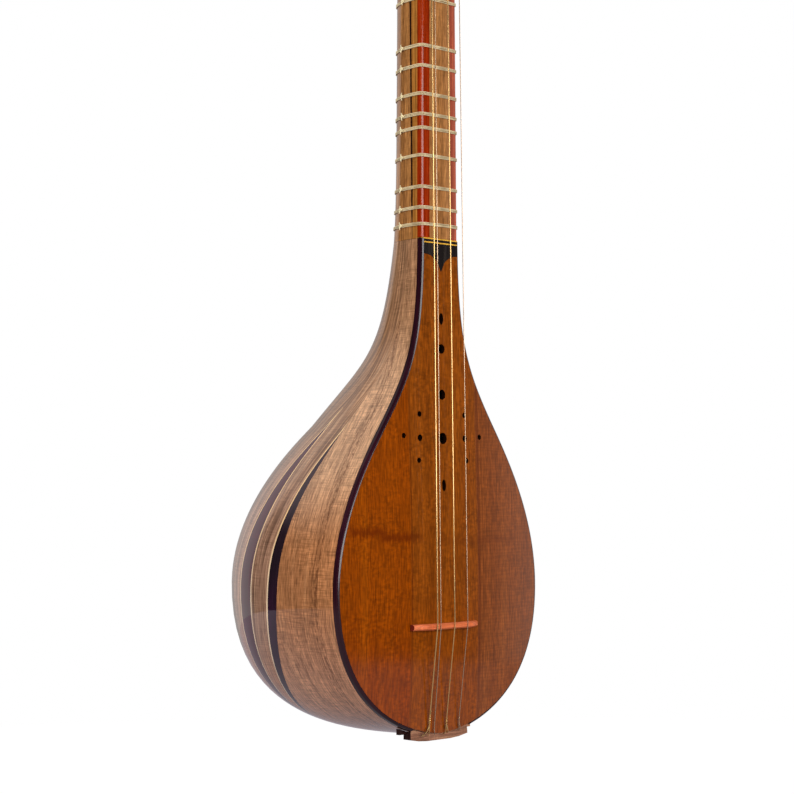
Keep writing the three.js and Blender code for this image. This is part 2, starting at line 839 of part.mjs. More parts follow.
// Bridge: a loose bar that stands on the soundboard under the strings

const bridgeLeft = -27;
const bridgeRight = 23;
const bridgeRise = 5.6;
const bridgeEndRise = 3;
const bridgeWidth = 3.7;
const bridgeFootShare = 0.16;
const bridgeArchShare = 0.24;
const bridgeArchRise = 1.2;
const bridgeTop = boardFront(0, boardHalfWidth) - bridgeRise;

function bridge() {
  const length = bridgeRight - bridgeLeft;
  const foot = bridgeFootShare * length;
  const arch = bridgeArchShare * length;
  const under = (x) => boardFront(x, boardHalfWidth - boardInset) - seatGap;
  const shape = new THREE.Shape([
    [bridgeLeft, under(bridgeLeft)],
    [bridgeLeft + foot, under(bridgeLeft + foot)],
    [bridgeLeft + arch, under(bridgeLeft + foot) - bridgeArchRise],
    [bridgeRight - arch, under(bridgeRight - foot) - bridgeArchRise],
    [bridgeRight - foot, under(bridgeRight - foot)],
    [bridgeRight, under(bridgeRight)],
    [bridgeRight, under(bridgeRight) - bridgeEndRise / 2],
    [bridgeRight - foot, bridgeTop],
    [bridgeLeft + foot, bridgeTop],
    [bridgeLeft, under(bridgeLeft) - bridgeEndRise],
  ].map(([x, y]) => new THREE.Vector2(x, y)));
  const bar = new THREE.ExtrudeGeometry(shape, { depth: bridgeWidth, bevelEnabled: false });
  return bar.translate(0, 0, bridgeHeight - bridgeWidth / 2);
}

addPiece('bridge', bridge(), bridgeWood);

// Strings: straight runs from the holder over the board's end, the bridge and the nut to a peg

const stringSides = 6;

// A round wire through its corners, with a ring across each of them.
function stringBody(points, radius) {
  const direction = (i) => points[i + 1].clone().sub(points[i]).normalize();
  const circle = spread(0, 2 * Math.PI, stringSides).slice(1)
    .map((angle) => new THREE.Vector2(radius * Math.cos(angle), radius * Math.sin(angle)));
  const rings = points.map((point, i) => {
    const along = direction(Math.max(0, i - 1));
    if (i > 0 && i < points.length - 1) along.add(direction(i)).normalize();
    const side = new THREE.Vector3(1, 0, 0).projectOnPlane(along).normalize();
    const across = along.clone().cross(side);
    return circle.map(({ x, y }) => (
      point.clone().addScaledVector(side, x).addScaledVector(across, y)
    ));
  });
  return loftBody(rings, circle, circle);
}

const bassRadius = 0.3;
const brassRadius = 0.25;
const steelRadius = 0.22;
const edgeClearance = 0.8;
const holdDepth = 2.6;

// The height of the soundboard's lower edge at a distance from its middle.
function boardEdgeHeight(x) {
  return onProfile(rim, stationOfWidth(Math.abs(x), boardInset, tailStationShare, 1), boardInset).y;
}

// Places across the bridge are shares of half its length, and at the nut of the nut's half width.
const stringTable = [
  {
    name: 'string_bass',
    radius: bassRadius,
    bridgeShare: -0.512,
    nutShare: -0.883,
    finish: brassWire,
    peg: sidePegs[0],
  },
  {
    name: 'string_third',
    radius: steelRadius,
    bridgeShare: -0.404,
    nutShare: -0.683,
    finish: steelWire,
    peg: sidePegs[1],
  },
  {
    name: 'string_second',
    radius: brassRadius,
    bridgeShare: 0.008,
    nutShare: 0.067,
    finish: brassWire,
    peg: frontPegs[1],
  },
  {
    name: 'string_first',
    radius: steelRadius,
    bridgeShare: 0.416,
    nutShare: 0.75,
    finish: steelWire,
    peg: frontPegs[0],
  },
];
const bendShares = { up: 0.45, out: 0.8 };

function pegRoute(target, nutX, radius) {
  const away = pegThickRadius + seatGap + radius;
  if ('x' in target) {
    const y = headDrop - pegWindingLength / 2;
    return [new THREE.Vector3(target.x + away, y, target.z)];
  }
  const out = sidePegReach + seatGap + 2 * radius;
  const over = headDrop - seatGap - 2 * radius;
  const bendHeight = nutHeight + (target.z - nutHeight) * bendShares.up;
  return [
    new THREE.Vector3(nutX - (out + nutX) * bendShares.out, over, bendHeight),
    new THREE.Vector3(-out - pegWindingLength / 3, target.y - away, target.z),
  ];
}

for (const { name, radius, bridgeShare, nutShare, finish, peg: target } of stringTable) {
  const bridgeX = (bridgeShare * (bridgeRight - bridgeLeft)) / 2;
  const nutX = nutShare * nutHalfWidth;
  const edge = boardEdgeHeight(bridgeX);
  addPiece(name, stringBody([
    new THREE.Vector3(bridgeX, holderFront - seatGap - radius, edge - holdDepth),
    new THREE.Vector3(bridgeX, -edgeClearance, edge + seatGap),
    new THREE.Vector3(bridgeX, bridgeTop - seatGap - radius, bridgeHeight),
    new THREE.Vector3(nutX, -nutRise - seatGap - radius, nutHeight),
    ...pegRoute(target, nutX, radius),
  ], radius), finish);
}

// Frets: loops of gut tied round the neck, numbered from the nut

const fretWidth = 1.9;
const fretThickness = 0.8;
const fretPlay = 0.2;
const longestFretTravel = 5;
const fretSemitoneShares = [
  1, 1.5, 2, 3, 3.5, 4, 5, 5.5, 6.5, 7, 8, 8.5, 9, 10, 10.5, 12, 13.38, 14, 14.9, 15.58, 16.06,
  17.05, 18.26, 19.1, 19.8,
];

// A fret's outline follows the neck's section at an even distance.
function fretOutline(z, outset) {
  const halfWidth = neckHalfWidth(z) + outset;
  const corner = (share) => [-neckHalfWidth(z) + cornerRadius * share, cornerRadius * share];
  const [cornerX, cornerY] = corner(cornerShare);
  const left = [
    [-neckHalfWidth(z) + cornerRadius, -outset],
    [cornerX - outset * Math.SQRT1_2, cornerY - outset * Math.SQRT1_2],
    [-halfWidth, cornerRadius],
  ];
  const right = left.map(([x, y]) => [-x, y]).reverse();
  const section = neckSection(z, neckFront, neckSides);
  const around = section.map((point, i) => {
    if (i === 0) return [-halfWidth, point.y];
    if (i === neckSides) return [halfWidth, point.y];
    const scale = new THREE.Vector2(halfWidth / neckHalfWidth(z), 1 + outset / neckDepth(z));
    return [point.x * scale.x, point.y * scale.y];
  });
  return [...left, ...around, ...right].map(([x, y]) => new THREE.Vector2(x, y));
}

function fret(z, lowest) {
  const shape = new THREE.Shape(fretOutline(lowest, seatGap + fretThickness));
  shape.holes.push(new THREE.Path(fretOutline(lowest, seatGap).reverse()));
  const loop = new THREE.ExtrudeGeometry(shape, { depth: fretWidth, bevelEnabled: false });
  return loop.translate(0, 0, z - fretWidth / 2);
}

// A fret slides half the way to the next one, and fits the neck at the low end of its travel.
const fretHeights = fretSemitoneShares.map((semitones) => (
  bridgeHeight + stringLength * 2 ** (-semitones / 12)
));
fretHeights.forEach((z, i) => {
  const room = z - (fretHeights[i + 1] ?? boardLength) - fretWidth;
  const travel = Math.min(longestFretTravel, room / 2 - fretPlay);
  addPiece(`fret_${String(i + 1).padStart(2, '0')}`, fret(z, z - travel - fretWidth / 2), gut);
});

export default setar;
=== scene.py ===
"""Looks of a setar: woods, inlays, gut frets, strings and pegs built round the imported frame.

Lengths are millimetres from the tail of the soundboard: X across it, Y back into the bowl and Z up
the neck. place() turns them into the frame's metres, whose origin is the hanger above the nut.
"""

import random
from math import asin, cos, exp, pi, radians, sin, sqrt

import bmesh
import bpy
import numpy as np
from mathutils import Matrix, Vector


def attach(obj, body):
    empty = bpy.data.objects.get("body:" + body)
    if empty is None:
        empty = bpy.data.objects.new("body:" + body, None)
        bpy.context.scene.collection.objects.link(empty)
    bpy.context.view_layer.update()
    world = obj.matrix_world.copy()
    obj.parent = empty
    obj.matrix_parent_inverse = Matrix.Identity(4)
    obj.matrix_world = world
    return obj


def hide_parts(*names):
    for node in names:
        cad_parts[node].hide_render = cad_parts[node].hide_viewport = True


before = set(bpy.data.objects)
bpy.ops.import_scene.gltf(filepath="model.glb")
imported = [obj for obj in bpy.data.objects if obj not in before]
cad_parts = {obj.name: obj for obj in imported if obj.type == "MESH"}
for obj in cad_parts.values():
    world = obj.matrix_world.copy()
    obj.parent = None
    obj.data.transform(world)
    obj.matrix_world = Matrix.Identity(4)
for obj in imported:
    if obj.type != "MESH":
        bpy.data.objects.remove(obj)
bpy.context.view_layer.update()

# Driving dimensions, as the part has them
MM = 0.001
BOARD_LENGTH = 262
BOARD_HALF_WIDTH = 77.5
BOWL_DEPTH = 141.9
STRING_LENGTH = 665
NECK_LENGTH = 0.693 * STRING_LENGTH
JOINT_HALF_WIDTH = 14.3
JOINT_DEPTH = 31.7
NUT_HALF_WIDTH = 12
NUT_DEPTH = 25.3
HEAD_LENGTH = 112
NUT_HEIGHT = BOARD_LENGTH + NECK_LENGTH
BRIDGE_HEIGHT = NUT_HEIGHT - STRING_LENGTH
HANGER_HEIGHT = NUT_HEIGHT + 8
RIB_THICKNESS = 3
BOARD_THICKNESS = 2.5
BOARD_DOME = 2.7
GLUE_LINE = 0.15
SEAT_GAP = 0.3

# Stations along the bowl: 0 is the tail, 1 the widest place, 2 the waist and 3 the neck joint
POLE_STATION = 0.42
FLARE_STATION = 1.05
JOINT_STATION = 3

SIDES = (("left", -1), ("right", 1))
CREASE = 35


# Meshes


def place(points):
    """Millimetres from the tail as metres of the frame."""
    return (np.asarray(points, float).reshape(-1, 3) - (0, 0, HANGER_HEIGHT)) * MM


def around(count):
    """Angles spaced evenly round a circle."""
    return np.arange(count) * 2 * pi / count


def unit(vector):
    return vector / np.linalg.norm(vector)


def new_mesh(name, points, faces):
    mesh = bpy.data.meshes.new(name)
    mesh.from_pydata(place(points).tolist(), [], faces)
    return mesh


def linked(name, data):
    """A new object in the scene."""
    made = bpy.data.objects.new(name, data)
    bpy.context.scene.collection.objects.link(made)
    return made


def smooth(mesh, crease=CREASE):
    """Smooth faces, with sharp edges where they meet at more than the crease in degrees."""
    mesh.shade_smooth()
    mesh.set_sharp_from_angle(angle=radians(crease))


def finish_mesh(mesh, crease=CREASE):
    """Joins doubled corners, drops collapsed faces, turns faces outwards and smooths them."""
    shape = bmesh.new()
    shape.from_mesh(mesh)
    bmesh.ops.remove_doubles(shape, verts=shape.verts, dist=2e-6)
    bmesh.ops.dissolve_degenerate(shape, edges=shape.edges, dist=1e-6)
    bmesh.ops.recalc_face_normals(shape, faces=shape.faces)
    shape.to_mesh(mesh)
    shape.free()
    smooth(mesh, crease)


def add_piece(name, shape, material, body="setar", stands_for=None, crease=CREASE):
    """A mesh piece in the frame, which replaces the CAD node of its name or the one it stands for.

    Its shape is points, faces and, for a grain map, each point's millimetres across and along.
    """
    points, faces, *grain = shape
    mesh = new_mesh(name, points, faces)
    for uv in grain:
        layer = mesh.uv_layers.new(name="grain")
        corners = np.zeros(len(mesh.loops), np.int32)
        mesh.loops.foreach_get("vertex_index", corners)
        layer.data.foreach_set("uv", (uv[corners] * MM).ravel())
    finish_mesh(mesh, crease)
    mesh.materials.append(material)
    piece = linked(name, mesh)
    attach(piece, body)
    stands_for = stands_for or name
    if stands_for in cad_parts:
        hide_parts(stands_for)
    return piece


def grid_faces(rows, columns, start=0, loop=False):
    """Quads over a grid of points. loop joins the last column to the first."""
    faces = []
    for a in range(start, start + (rows - 1) * columns, columns):
        for column in range(columns if loop else columns - 1):
            side = (column + 1) % columns
            faces.append((a + column, a + side, a + columns + side, a + columns + column))
    return faces


def shell(outer, inner):
    """Points and faces of a closed shell between two grids."""
    rows, columns = outer.shape[:2]
    back = rows * columns
    index = np.arange(back).reshape(rows, columns)
    rim = np.concatenate(
        [index[:, 0], index[-1, 1:], index[-2::-1, -1], index[0, -2:0:-1]]).tolist()
    faces = grid_faces(rows, columns) + grid_faces(rows, columns, back)
    faces += [(a, b, b + back, a + back) for a, b in zip(rim, rim[1:] + rim[:1])]
    return np.concatenate([outer.reshape(-1, 3), inner.reshape(-1, 3)]), faces


def run(points):
    """Distances along a row of points from its first."""
    steps = np.linalg.norm(np.diff(points, axis=0), axis=1)
    return np.concatenate([[0], np.cumsum(steps)])


def pairs(across, along):
    """Each point's distances across and along, row by row."""
    return np.stack(np.broadcast_arrays(across, along[:, None]), axis=2).reshape(-1, 2)


def grain_uv(grid, column=None):
    """Across and along distances on a grid of points, measured from one column, or the middle."""
    middle = grid.shape[1] // 2 if column is None else column
    across = np.array([run(row) for row in grid])
    return pairs(across - across[:, middle:middle + 1], run(grid[:, middle]))


def ring_uv(rings):
    """Round and along distances on closed rings."""
    rings = np.asarray(rings, float)
    return pairs(run(rings[0])[None, :], run(rings.mean(axis=1)))


def loft(rings):
    """Points and faces of a body through closed rings, with flat ends."""
    rings = np.asarray(rings, float)
    rows, columns = rings.shape[:2]
    faces = grid_faces(rows, columns, loop=True)
    faces.append(tuple(range(columns)))
    faces.append(tuple(range((rows - 1) * columns, rows * columns))[::-1])
    return rings.reshape(-1, 3), faces


def tube(path, radius, sides=8, closed=False):
    """Points, faces and grain distances of a round tube, carried along its path without twist."""
    path = np.asarray(path, float)
    if closed:
        along = np.roll(path, -1, axis=0) - np.roll(path, 1, axis=0)
    else:
        along = np.gradient(path, axis=0)
    along /= np.linalg.norm(along, axis=1, keepdims=True)
    side = unit(np.cross(along[0], (1, 0, 0) if abs(along[0][0]) < 0.9 else (0, 1, 0)))
    rings = []
    for point, direction in zip(path, along):
        side = unit(side - direction * side.dot(direction))
        other = np.cross(direction, side)
        rings.append([point + radius * (cos(a) * side + sin(a) * other) for a in around(sides)])
    points, faces = loft(rings)
    if closed:
        # the side vector may come round turned: the last ring meets the first at its nearest corner
        last = len(points) - sides
        shift = int(np.argmin(np.linalg.norm(points[:sides] - points[last], axis=1)))
        faces[-2:] = [(last + i, last + (i + 1) % sides, (i + 1 + shift) % sides,
                       (i + shift) % sides) for i in range(sides)]
    return points, faces, ring_uv(rings)


def combine(*parts):
    """Several bodies as one shape."""
    faces, start = [], 0
    for points, part_faces, *_ in parts:
        faces += [tuple(i + start for i in face) for face in part_faces]
        start += len(points)
    points, _, *grain = zip(*parts)
    return np.concatenate(points), faces, *map(np.concatenate, grain)


def plate(outline, front, back):
    """A flat outline of X and Z made solid between two depths."""
    return loft([[(x, y, z) for x, z in outline] for y in (front, back)])


def lathe(outline, sides=32):
    """A turned body: the outline gives radius and height."""
    return loft([[(r * cos(a), r * sin(a), z) for a in around(sides)] for r, z in outline])


def smooth_path(points, steps):
    """A Catmull-Rom curve through the points."""
    points = [np.array(p, float) for p in points]
    points = [2 * points[0] - points[1], *points, 2 * points[-1] - points[-2]]
    path = []
    for a, b, c, d in zip(points, points[1:], points[2:], points[3:]):
        for t in np.arange(steps) / steps:
            path.append(0.5 * (2 * b + (c - a) * t + (2 * a - 5 * b + 4 * c - d) * t * t
                               + (3 * b - a - 3 * c + d) * t ** 3))
    path.append(points[-2])
    return np.array(path)


# Materials


def srgb(*colour):
    """A colour as seen, 0 to 255, as the linear colour that a shader wants."""
    shares = [value / 255 for value in colour]
    return (*(v / 12.92 if v <= 0.04045 else ((v + 0.055) / 1.055) ** 2.4 for v in shares), 1)


class Value:
    """What a node's output gives, to be reckoned with."""

    def __init__(self, tree, socket):
        self.tree, self.socket = tree, socket

    def math(self, operation, *others):
        return node(self.tree, "Math", self, *others, operation=operation)

    def __add__(self, other):
        return self.math("ADD", other)

    def __sub__(self, other):
        return self.math("SUBTRACT", other)

    def __mul__(self, other):
        return self.math("MULTIPLY", other)

    def off(self, middle=0.0):
        """How far it is from a middle, on either side."""
        return (self - middle).math("ABSOLUTE")

    def larger(self, other):
        return self.math("MAXIMUM", other)

    def numbers(self):
        """The X, Y and Z of a vector."""
        return [node(self.tree, "SeparateXYZ", self, output=axis) for axis in "XYZ"]

    def between(self, low, high):
        """A number that goes from low to high as this goes from 0 to 1."""
        return node(self.tree, "MapRange", self, To_Min=low, To_Max=high)

    def ranged(self, low, high, out_low=0.0, out_high=1.0):
        """Taken from one range to another, smoothly and within its ends."""
        return node(self.tree, "MapRange", self, low, high, out_low, out_high,
                    interpolation_type="SMOOTHSTEP")


def feed(socket, value):
    """Gives a socket a plain value, or a link to a node's output."""
    if isinstance(value, Value):
        value.tree.links.new(value.socket, socket)
    else:
        socket.default_value = value


def node(tree, kind, *values, output=0, **named):
    """An output of a new shader node. Its inputs are given in order or by name, with a capital,
    and its settings by name in small letters."""
    made = tree.nodes.new(f"ShaderNode{kind}")
    for name in [name for name in named if name[0].islower()]:
        setattr(made, name, named.pop(name))
    for socket, value in zip(made.inputs, values):
        if value is not None:
            feed(socket, value)
    for name, value in named.items():
        feed(made.inputs[name.replace("_", " ")], value)
    return Value(tree, made.outputs[output])


def mixed(factor, first, second, blend="MIX"):
    """Two colours mixed by a factor. The node has inputs for numbers and vectors before them."""
    tree = next(value.tree for value in (factor, second) if isinstance(value, Value))
    return node(tree, "Mix", factor, *[None] * 5, first, second, output=2, data_type="RGBA",
                blend_type=blend)


def shaded(colour, pattern, amount, spread=0.22):
    """A colour made lighter and darker by a pattern, which keeps its hue."""
    factor = pattern.ranged(0.5 - spread, 0.5 + spread, 1 - amount, 1 + amount)
    return mixed(1.0, colour, factor, "MULTIPLY")


def object_place(tree):
    """The place on the piece, in metres of the frame."""
    return node(tree, "TexCoord", output="Object")


def facing(tree):
    """X, Y and Z of the way that a face looks."""
    return node(tree, "NewGeometry", output="True Normal").numbers()


def grain_vector(tree, grain):
    """Millimetres with Z along the grain: up the piece, across it, or by its grain map."""
    if grain == "map":
        across, along, _ = node(tree, "UVMap", uv_map="grain").numbers()
        vector = node(tree, "CombineXYZ", X=across, Z=along)
    else:
        vector = object_place(tree)
    if grain == "cross":
        vector = node(tree, "CombineXYZ", *vector.numbers()[::-1])
    return node(tree, "Mapping", vector, Scale=(1 / MM,) * 3)


def noise(vector, size, detail, offset=0.0, distortion=0.0):
    """Noise with features of the given sizes in millimetres across and along the grain."""
    across, along = size
    mapped = node(vector.tree, "Mapping", vector, Scale=(1 / across, 1 / across, 1 / along),
                  Location=(offset, offset * 0.7, offset * 1.3))
    return node(vector.tree, "TexNoise", mapped, Detail=detail, Roughness=0.55,
                Distortion=distortion, Scale=1.0)


def waves(vector, scale, distortion, **inputs):
    """Bands across the grain."""
    return node(vector.tree, "TexWave", vector, output="Fac", bands_direction="Z", Scale=scale,
                Distortion=distortion, **inputs)


def shader(name, **inputs):
    """A new material, its node tree and its principled shader."""
    material = bpy.data.materials.new(name)
    material.use_nodes = True
    principled = material.node_tree.nodes["Principled BSDF"]
    for key, value in inputs.items():
        principled.inputs[key.replace("_", " ")].default_value = value
    return material, material.node_tree, principled


def surfaced(principled, colour, rough, height, bump, depth):
    """Links a colour, a roughness and a relief, which is as deep as given in millimetres."""
    relief = node(height.tree, "Bump", Height=height, Strength=bump, Distance=depth * MM)
    for name, value in (("Base Color", colour), ("Roughness", rough), ("Normal", relief)):
        feed(principled.inputs[name], value)


def wood(name, base, pale, dark, grain="object", band=(7, 170), streak=(1.1, 40),
         fine=(0.6, 14), cross=(20, 0.7), amounts=(0.5, 0.3, 0.2, 0.08), pores=0.4,
         pore=(0.8, 8), rough=(0.35, 0.5), coat=1.0, coat_rough=0.05, seed=0.0, bump=0.25,
         ground=None, marks=None):
    """Varnished wood: growth bands, streaks, fine grain, ripples across and dark pores.

    Sizes are across and along the grain; amounts are the strengths of the first four. ground
    changes the colour that the grain lies on, and marks are what one board alone has. Some
    grounds hold painted reflections, and some marks painted shade.
    """
    material, tree, principled = shader(
        name, Coat_Weight=coat, Coat_Roughness=coat_rough, Specular_IOR_Level=0.0)
    base, pale, dark = srgb(*base), srgb(*pale), srgb(*dark)
    banding, streaking, graining, rippling = amounts
    vector = grain_vector(tree, grain)
    bands = noise(vector, band, 3, seed, distortion=0.4)
    streaks = noise(vector, streak, 2, seed + 3.1)
    fines = noise(vector, fine, 1, seed + 7.7)
    crossing = noise(vector, cross, 1, seed + 11.3)
    patches = noise(vector, (18, 22), 2, seed + 13.9)
    dashes = noise(vector, pore, 1, seed + 17.9)
    colour = ground(tree, base) if ground else base
    colour = mixed(bands.ranged(0.4, 0.66, 0, banding), colour, dark)
    colour = mixed(bands.ranged(0.48, 0.3, 0, banding * 0.7), colour, pale)
    colour = shaded(colour, streaks, streaking)
    colour = shaded(colour, fines, graining)
    colour = shaded(colour, (crossing - 0.5) * patches.ranged(0.42, 0.6, 0.3, 1) + 0.5, rippling)
    colour = mixed(dashes.ranged(0.56, 0.7, 0, pores), colour, dark)
    if marks:
        colour = marks(vector, colour, dark)
    surfaced(principled, colour, streaks.ranged(0.3, 0.7, *rough),
             streaks * 0.4 - dashes.ranged(0.6, 0.75), bump, 0.06)
    return material


def wire(name, base, dark, pitch, rough=(0.12, 0.22)):
    """Drawn or wound metal wire: fine turns along its length, with dull and bright stretches."""
    material, tree, principled = shader(name, Metallic=0.75)
    vector = grain_vector(tree, "map")
    turns = waves(vector, 1 / (pitch * 3.2), 0.6)
    dull = noise(vector, (2, 9), 3)
    colour = mixed(dull.ranged(0.4, 0.7, 0, 0.3), srgb(*base), srgb(*dark))
    # The grooves between the turns are painted darker: painted shade.
    colour = mixed(turns.ranged(0.5, 0.0, 0, 0.2), colour, srgb(*dark))
    surfaced(principled, colour, dull.ranged(0.3, 0.7, *rough), turns, 0.12, 0.01)
    return material


def turning(*stages):
    """A ground colour that changes with height: two heights and the colour of each change."""
    def ground(tree, base):
        _, _, up = object_place(tree).numbers()
        for low, high, colour in stages:
            share = up.ranged((low - HANGER_HEIGHT) * MM, (high - HANGER_HEIGHT) * MM)
            base = mixed(share, base, srgb(*colour))
        return base
    return ground


def painted_sheen_right(tree, base):
    """The strip on the right of the middle is painted paler: a painted reflection of the pale
    backdrop.
    """
    across, _, _ = object_place(tree).numbers()
    return mixed(across.ranged(0, 2 * MM), base, srgb(168, 76, 46))


# Veins of the side rib: distance from the binding, half width and strength
SIDE_VEINS = [(15.5, 2.0, 0.7), (18.8, 1.3, 0.6), (26.0, 1.2, 0.35), (36.0, 2.0, 0.35)]
VEIN_WANDER = 9.0


def side_rib_marks(vector, colour, dark):
    """Dark veins beside the binding, which wander and are broken along their length."""
    across, _, _ = vector.numbers()
    across += noise(vector, (60, 60), 2, 2.0) * VEIN_WANDER
    broken = noise(vector, (0.9, 2.6), 2, 4.0).ranged(0.4, 0.58)
    for middle, width, amount in SIDE_VEINS:
        colour = mixed(across.off(middle).ranged(width, 0, 0, amount) * broken, colour, dark)
    return colour


# Smears on the soundboard: height, left and right ends, strength
BOARD_SMEARS = [(111.7, -74, -40, 0.75), (108.7, -52, -14, 0.75), (106, -12, 60, 0.25)]
SMEAR_WIDTH = 4.2
SMEAR_FADE = 8
SMEAR_WANDER = 8.0
# Veins on the soundboard: distance from the middle, half width, strength
BOARD_VEINS = [(-25.2, 0.8, 0.6), (27.6, 1.7, 0.6), (30.5, 0.8, 0.35)]


def board_marks(vector, colour, dark):
    """Dark smears across the grain, a dark line beside each panel joint, and painted shade on the
    walls of the holes.
    """
    across, _, up = vector.numbers()
    up += HANGER_HEIGHT
    up += noise(vector, (1.5, 6), 3, 6.0) * SMEAR_WANDER
    for middle, left, right, strength in BOARD_SMEARS:
        ends = across.ranged(left, left + SMEAR_FADE) * across.ranged(right, right - SMEAR_FADE)
        colour = mixed(up.off(middle).ranged(SMEAR_WIDTH, 0, 0, strength) * ends, colour, dark)
    for middle, width, strength in BOARD_VEINS:
        colour = mixed(across.off(middle).ranged(width, width * 0.2, 0, strength), colour, dark)
    # Faces that don't look forward, the walls of the sound holes, are painted near black: painted
    # shade.
    _, front, _ = facing(vector.tree)
    return mixed(front.off().ranged(0.35, 0.2), colour, srgb(36, 16, 8))


def rippled(vector, colour, dark):
    """Fine wavy ripples across the grain, under the board's marks."""
    bent = node(vector.tree, "Mapping", vector, Scale=(0.05, 0.05, 0.5))
    ripples = waves(bent, 0.32, 9.0, Detail=2.0, Detail_Scale=1.4)
    return board_marks(vector, shaded(colour, ripples, 0.06, 0.5), dark)


HOLDER_STEP = -21.6
BRIDGE_STEP = -15.5


def stain_and_shade_ends(vector, colour, dark):
    """The holder's left end and the step out beyond it are coloured dark: partly a dark stain,
    partly painted shade, as faces that look left are darkened.
    """
    end, _, _ = facing(vector.tree)
    _, _, reach = vector.numbers()
    share = end.ranged(-0.55, -0.75).larger(reach.ranged(HOLDER_STEP, HOLDER_STEP - 0.3))
    return mixed(share, colour, srgb(44, 24, 22))


def dark_end_faces(vector, colour, dark):
    """The bridge's left end is darker."""
    end, _, _ = facing(vector.tree)
    _, _, reach = vector.numbers()
    share = end.off().ranged(0.55, 0.85) * reach.ranged(BRIDGE_STEP - 6, BRIDGE_STEP - 9)
    return mixed(share, colour, srgb(104, 34, 22))


UPPER_WALNUT = (166, 121, 86)
# Paler low on the side rib and at the tail: partly the walnut's own tone, partly a painted
# reflection of the floor below.
LOW_WALNUT_AND_FLOOR_REFLECTION = (204, 146, 112)
TAIL_WALNUT_AND_FLOOR_REFLECTION = (240, 172, 128)
LOW_NARROW = (218, 152, 112)
WAIST_WALNUT = (200, 153, 115)
BOWL = {"coat_rough": 0.03, "pores": 0.42, "pore": (0.9, 7), "grain": "map", "bump": 0.4}
BEHIND = {**BOWL, "ground": turning((110, 170, UPPER_WALNUT), (60, 15, LOW_NARROW))}
WALNUT_SIDE = wood(
    "walnut_side", (178, 118, 75), (212, 158, 112), (90, 50, 30), band=(5, 90), streak=(1.0, 24),
    fine=(0.6, 5), cross=(9, 0.5), amounts=(0.26, 0.25, 0.26, 0.23), seed=1.0,
    marks=side_rib_marks, ground=turning((75, 20, LOW_WALNUT_AND_FLOOR_REFLECTION), (40, 10, TAIL_WALNUT_AND_FLOOR_REFLECTION),
                                         (95, 145, WAIST_WALNUT), (185, 225, UPPER_WALNUT)), **BOWL)
WALNUT_NARROW = wood(
    "walnut_narrow", (172, 130, 104), (196, 158, 126), (80, 50, 38), band=(3, 70),
    streak=(1.1, 26), amounts=(0.55, 0.3, 0.25, 0.15), seed=5.0, **BEHIND)
WALNUT_BACK = wood(
    "walnut_back", (194, 148, 124), (186, 146, 112), (84, 54, 38), band=(5, 100),
    streak=(1.2, 30), amounts=(0.5, 0.3, 0.2, 0.15), seed=9.0, **BEHIND)
DARK = {"grain": "map", "amounts": (0.4, 0.2, 0.15, 0.1), "coat_rough": 0.03}
# The dark rib's ground turns paler high up and purple low down: painted reflections of the ceiling
# above and of the floor below.
DARK_RIB = wood(
    "dark_rib", (31, 19, 27), (44, 30, 38), (20, 12, 18), seed=13.0,
    ground=turning((95, 140, (54, 27, 38)), (95, 60, (50, 20, 44))), **DARK)
PLUM_RIB = wood("plum_rib", (80, 10, 34), (88, 22, 42), (54, 6, 22), seed=15.0, **DARK)
LIGHT_LINE = wood(
    "light_line", (236, 194, 140), (250, 218, 176), (196, 150, 102), "map", band=(2, 60),
    amounts=(0.3, 0.15, 0.15, 0.05), pores=0.15, coat_rough=0.03, seed=17.0,
    ground=turning((120, 60, (255, 226, 192))))
BINDING = wood(
    "binding", (42, 10, 21), (60, 26, 40), (22, 6, 14), "map", amounts=(0.5, 0.25, 0.2, 0.1),
    coat_rough=0.2, seed=21.0)
BOARD = {"band": (9, 240), "streak": (1.2, 26), "fine": (0.75, 7), "cross": (3, 1.6),
         "pores": 0.25, "pore": (0.8, 5), "coat_rough": 0.1}
SPREAD = {**BOARD, "amounts": (0.2, 0.1, 0.26, 0.2), "marks": board_marks}
BOARD_CENTRE = wood(
    "soundboard_centre", (136, 63, 1), (160, 90, 24), (92, 36, 4), seed=25.0,
    ground=turning((20, 90, (137, 68, 9))), **SPREAD)
BOARD_LEFT = wood(
    "soundboard_left", (129, 53, 0), (166, 87, 8), (98, 34, 1), seed=29.0,
    ground=turning((20, 80, (138, 62, 1))), **SPREAD)
BOARD_RIGHT = wood(
    "soundboard_right", (130, 65, 20), (156, 86, 34), (90, 36, 8), seed=33.0, marks=rippled,
    amounts=(0.25, 0.12, 0.24, 0.1), **BOARD)
NECK_WALNUT = wood(
    "neck_walnut", (175, 118, 64), (206, 152, 100), (98, 56, 28), band=(2.6, 120),
    streak=(0.9, 26), fine=(0.6, 6), amounts=(0.35, 0.22, 0.26, 0.08), pores=0.5, pore=(0.8, 6),
    seed=37.0)
NECK_GOLD = wood(
    "neck_gold", (170, 110, 46), (194, 136, 68), (106, 62, 26), band=(2.2, 200),
    streak=(0.8, 30), pores=0.5, seed=41.0)
NECK_LINE = wood(
    "neck_line", (40, 16, 8), (66, 34, 20), (26, 10, 8), band=(3, 200), seed=45.0,
    ground=turning((278, 266, (160, 108, 58))))
FINGERBOARD = wood(
    "fingerboard_walnut", (166, 111, 61), (192, 138, 86), (98, 56, 30), band=(3, 120),
    streak=(0.8, 30), fine=(0.6, 6), amounts=(0.25, 0.18, 0.28, 0.08), pores=0.45, pore=(0.8, 7),
    seed=49.0)
PADAUK = wood(
    "padauk", (150, 42, 4), (176, 66, 26), (106, 20, 2), band=(2.5, 200),
    amounts=(0.5, 0.22, 0.2, 0.06), pores=0.3, coat=0.75, coat_rough=0.1, seed=53.0,
    ground=painted_sheen_right)
BLACK_INLAY = wood("black_inlay", (36, 32, 31), (58, 52, 50), (20, 16, 16), seed=57.0)
